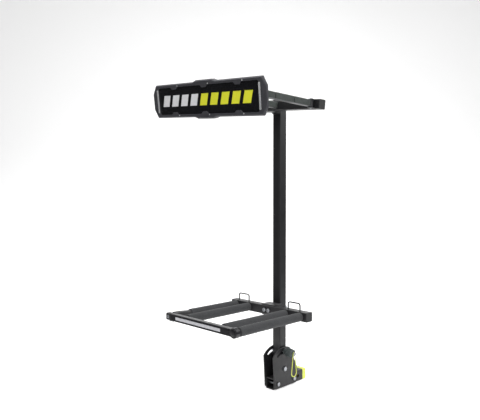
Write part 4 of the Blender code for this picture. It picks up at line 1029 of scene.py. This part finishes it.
def clamp_knob():
    """Round knob with soft lobes, fine ribs and a narrow neck."""
    low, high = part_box("tilt_knob")
    axis = Vector(joints["knob_turn"]["pos_m"])
    radius = (high.y - low.y) / 2
    length = high.x - low.x
    section = [(radius * knob_at(ring / KNOB_RINGS)[0], length * ring / KNOB_RINGS)
               for ring in range(KNOB_RINGS + 1)]
    part = turned(section + [(KNOB_BORE, length), (KNOB_BORE, 0.0)], KNOB_RIBS * KNOB_RIB_SIDES)
    for vert in part.verts:
        reach = vert.co.xy.length
        if reach > KNOB_BORE + SMALL:
            angle = math.atan2(vert.co.y, vert.co.x)
            dip = KNOB_FLUTE * (1.0 - math.cos(KNOB_LOBES * angle))
            dip += KNOB_RIB_DEPTH * (1.0 - math.cos(KNOB_RIBS * angle))
            shrink = 1.0 - dip * knob_at(min(1.0, vert.co.z / length))[1] / reach
            vert.co.x *= shrink
            vert.co.y *= shrink
    bm = bmesh.new()
    set_in(bm, part, Matrix.Translation((low.x, axis.y, axis.z)) @ Matrix.Rotation(math.pi / 2, 4, "Y"))
    fit(finished("clamp_knob", bm, grip, smooth_angle=50.0), "tilt_knob", "tilt_knob")


def hanging_loop():
    """Teardrop loop of round wire that hangs on the clamp bolt's end."""
    low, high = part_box("pull_loop")
    axis = Vector(joints["loop_swing"]["pos_m"])
    eye = Vector(((low.x + high.x) / 2, axis.y, axis.z))
    foot = eye - Vector((0.0, 0.0, LOOP_DROP))
    slope = math.asin((LOOP_FOOT - LOOP_EYE) / LOOP_DROP)

    def round_point(centre, radius, angle):
        """Point on a circle in the loop's plane."""
        return centre + radius * Vector((0.0, math.cos(angle), math.sin(angle)))

    def bend_and_run(wire_end, centre, radius, first, last, steps, target):
        """Bend the wire round a centre and run it straight to a target; gives its new end."""
        bend = bmesh.ops.spin(part, geom=wire_end, cent=centre, axis=(1.0, 0.0, 0.0), dvec=(0.0, 0.0, 0.0),
                              angle=last - first, steps=steps, use_merge=False)["geom_last"]
        edges = [item for item in bend if isinstance(item, bmesh.types.BMEdge)]
        run = bmesh.ops.extrude_edge_only(part, edges=edges)["geom"]
        verts = [item for item in run if isinstance(item, bmesh.types.BMVert)]
        bmesh.ops.translate(part, vec=target - round_point(centre, radius, last), verts=verts)
        return [item for item in run if not isinstance(item, bmesh.types.BMFace)]

    part = bmesh.new()
    front = -slope
    back = math.pi + slope
    eye_start = round_point(eye, LOOP_EYE, front)
    foot_start = round_point(foot, LOOP_FOOT, back)
    begin = Matrix.Translation(eye_start) @ Matrix.Rotation(-slope, 4, "X")
    bmesh.ops.create_circle(part, segments=LOOP_WIRE_SIDES, radius=LOOP_WIRE, matrix=begin)
    wire_end = part.verts[:] + part.edges[:]
    wire_end = bend_and_run(wire_end, eye, LOOP_EYE, front, back, LOOP_EYE_STEPS, foot_start)
    bend_and_run(wire_end, foot, LOOP_FOOT, back, front + math.tau, LOOP_FOOT_STEPS, eye_start)
    bm = bmesh.new()
    set_in(bm, part)
    fit(finished("hanging_loop", bm, yellow, smooth_angle=80.0), "pull_loop", "pull_loop")


clamp_knob()
hanging_loop()


# Studio and camera

def surround():
    """Light from above that fades towards the horizon; seen directly it is plain and pale."""
    world = bpy.data.worlds.new("surround")
    bpy.context.scene.world = world
    world.use_nodes = True
    tree = world.node_tree
    direction = tree.nodes.new("ShaderNodeTexCoord").outputs["Generated"]
    light = spread(tree, height_of(tree, direction), (0.0, ZENITH_FROM), (HORIZON, ZENITH))
    seen = tree.nodes.new("ShaderNodeLightPath").outputs["Is Camera Ray"]
    strength = add(tree, "Mix", {0: seen, 2: light, 3: BACKGROUND_SEEN}, data_type="FLOAT").outputs[0]
    background = tree.nodes["Background"]
    background.inputs["Color"].default_value = WHITE
    tree.links.new(strength, background.inputs["Strength"])


def floor_width(along):
    """Half the floor's width at a distance along the camera's view."""
    return FLOOR_MARGIN + FLOOR_FAN * (along + CAMERA_PLACE.xy.length)


def pale_floor():
    """Pale floor that runs up into a wall."""
    glow = {"Emission Color": WHITE, "Emission Strength": FLOOR_GLOW}
    pale = Finish("studio_pale", (0.86, 0.86, 0.86), roughness=0.9, fixed=glow)
    level = cad_bounds[0][2] - FLOOR_GAP
    outline = [(FLOOR_START, 0.0), (0.0, 0.0), (FLOOR_END, 0.0)]
    for step in range(1, FLOOR_BEND_STEPS + 1):
        angle = math.pi / 2 * step / FLOOR_BEND_STEPS
        outline.append((FLOOR_END + FLOOR_BEND * math.sin(angle), FLOOR_BEND * (1.0 - math.cos(angle))))
    outline.append((FLOOR_END + FLOOR_BEND, WALL_HEIGHT))
    bm = bmesh.new()
    verts = []
    for along, height in outline:
        side = CAMERA_RIGHT * floor_width(along)
        verts.append(bm.verts.new(CAMERA_AHEAD * along + side + Vector((0.0, 0.0, level + height))))
    edges = [bm.edges.new(pair) for pair in zip(verts, verts[1:])]
    across = bmesh.ops.extrude_edge_only(bm, edges=edges)["geom"]
    for vert in (item for item in across if isinstance(item, bmesh.types.BMVert)):
        vert.co -= CAMERA_RIGHT * 2.0 * floor_width(vert.co.dot(CAMERA_AHEAD))
    finished("floor", bm, pale.material, smooth_angle=80.0)


def soft_lamps():
    """Square soft lights that face the rack's middle."""
    for name, place, size, power in LAMPS:
        light = bpy.data.lights.new(name, "AREA")
        light.shape = "SQUARE"
        light.size = size
        light.energy = power
        lamp = bpy.data.objects.new(name, light)
        bpy.context.scene.collection.objects.link(lamp)
        lamp.location = place
        lamp.rotation_euler = (LAMP_TARGET - Vector(place)).to_track_quat("-Z", "Y").to_euler()


def aim_camera():
    """Camera at the photograph's place and angle."""
    camera = bpy.data.cameras.new("photo_camera")
    camera.lens = LENS
    camera.sensor_width = SENSOR
    camera.clip_start = CAMERA_NEAREST
    view = bpy.data.objects.new("photo_camera", camera)
    bpy.context.scene.collection.objects.link(view)
    forward = CAMERA_AHEAD * math.cos(CAMERA_PITCH) - Vector((0.0, 0.0, math.sin(CAMERA_PITCH)))
    view.location = CAMERA_PLACE
    view.rotation_euler = forward.to_track_quat("-Z", "Y").to_euler()
    bpy.context.scene.camera = view


surround()
pale_floor()
soft_lamps()
aim_camera()
bpy.context.scene.view_settings.view_transform = "Standard"

bpy.context.view_layer.update()
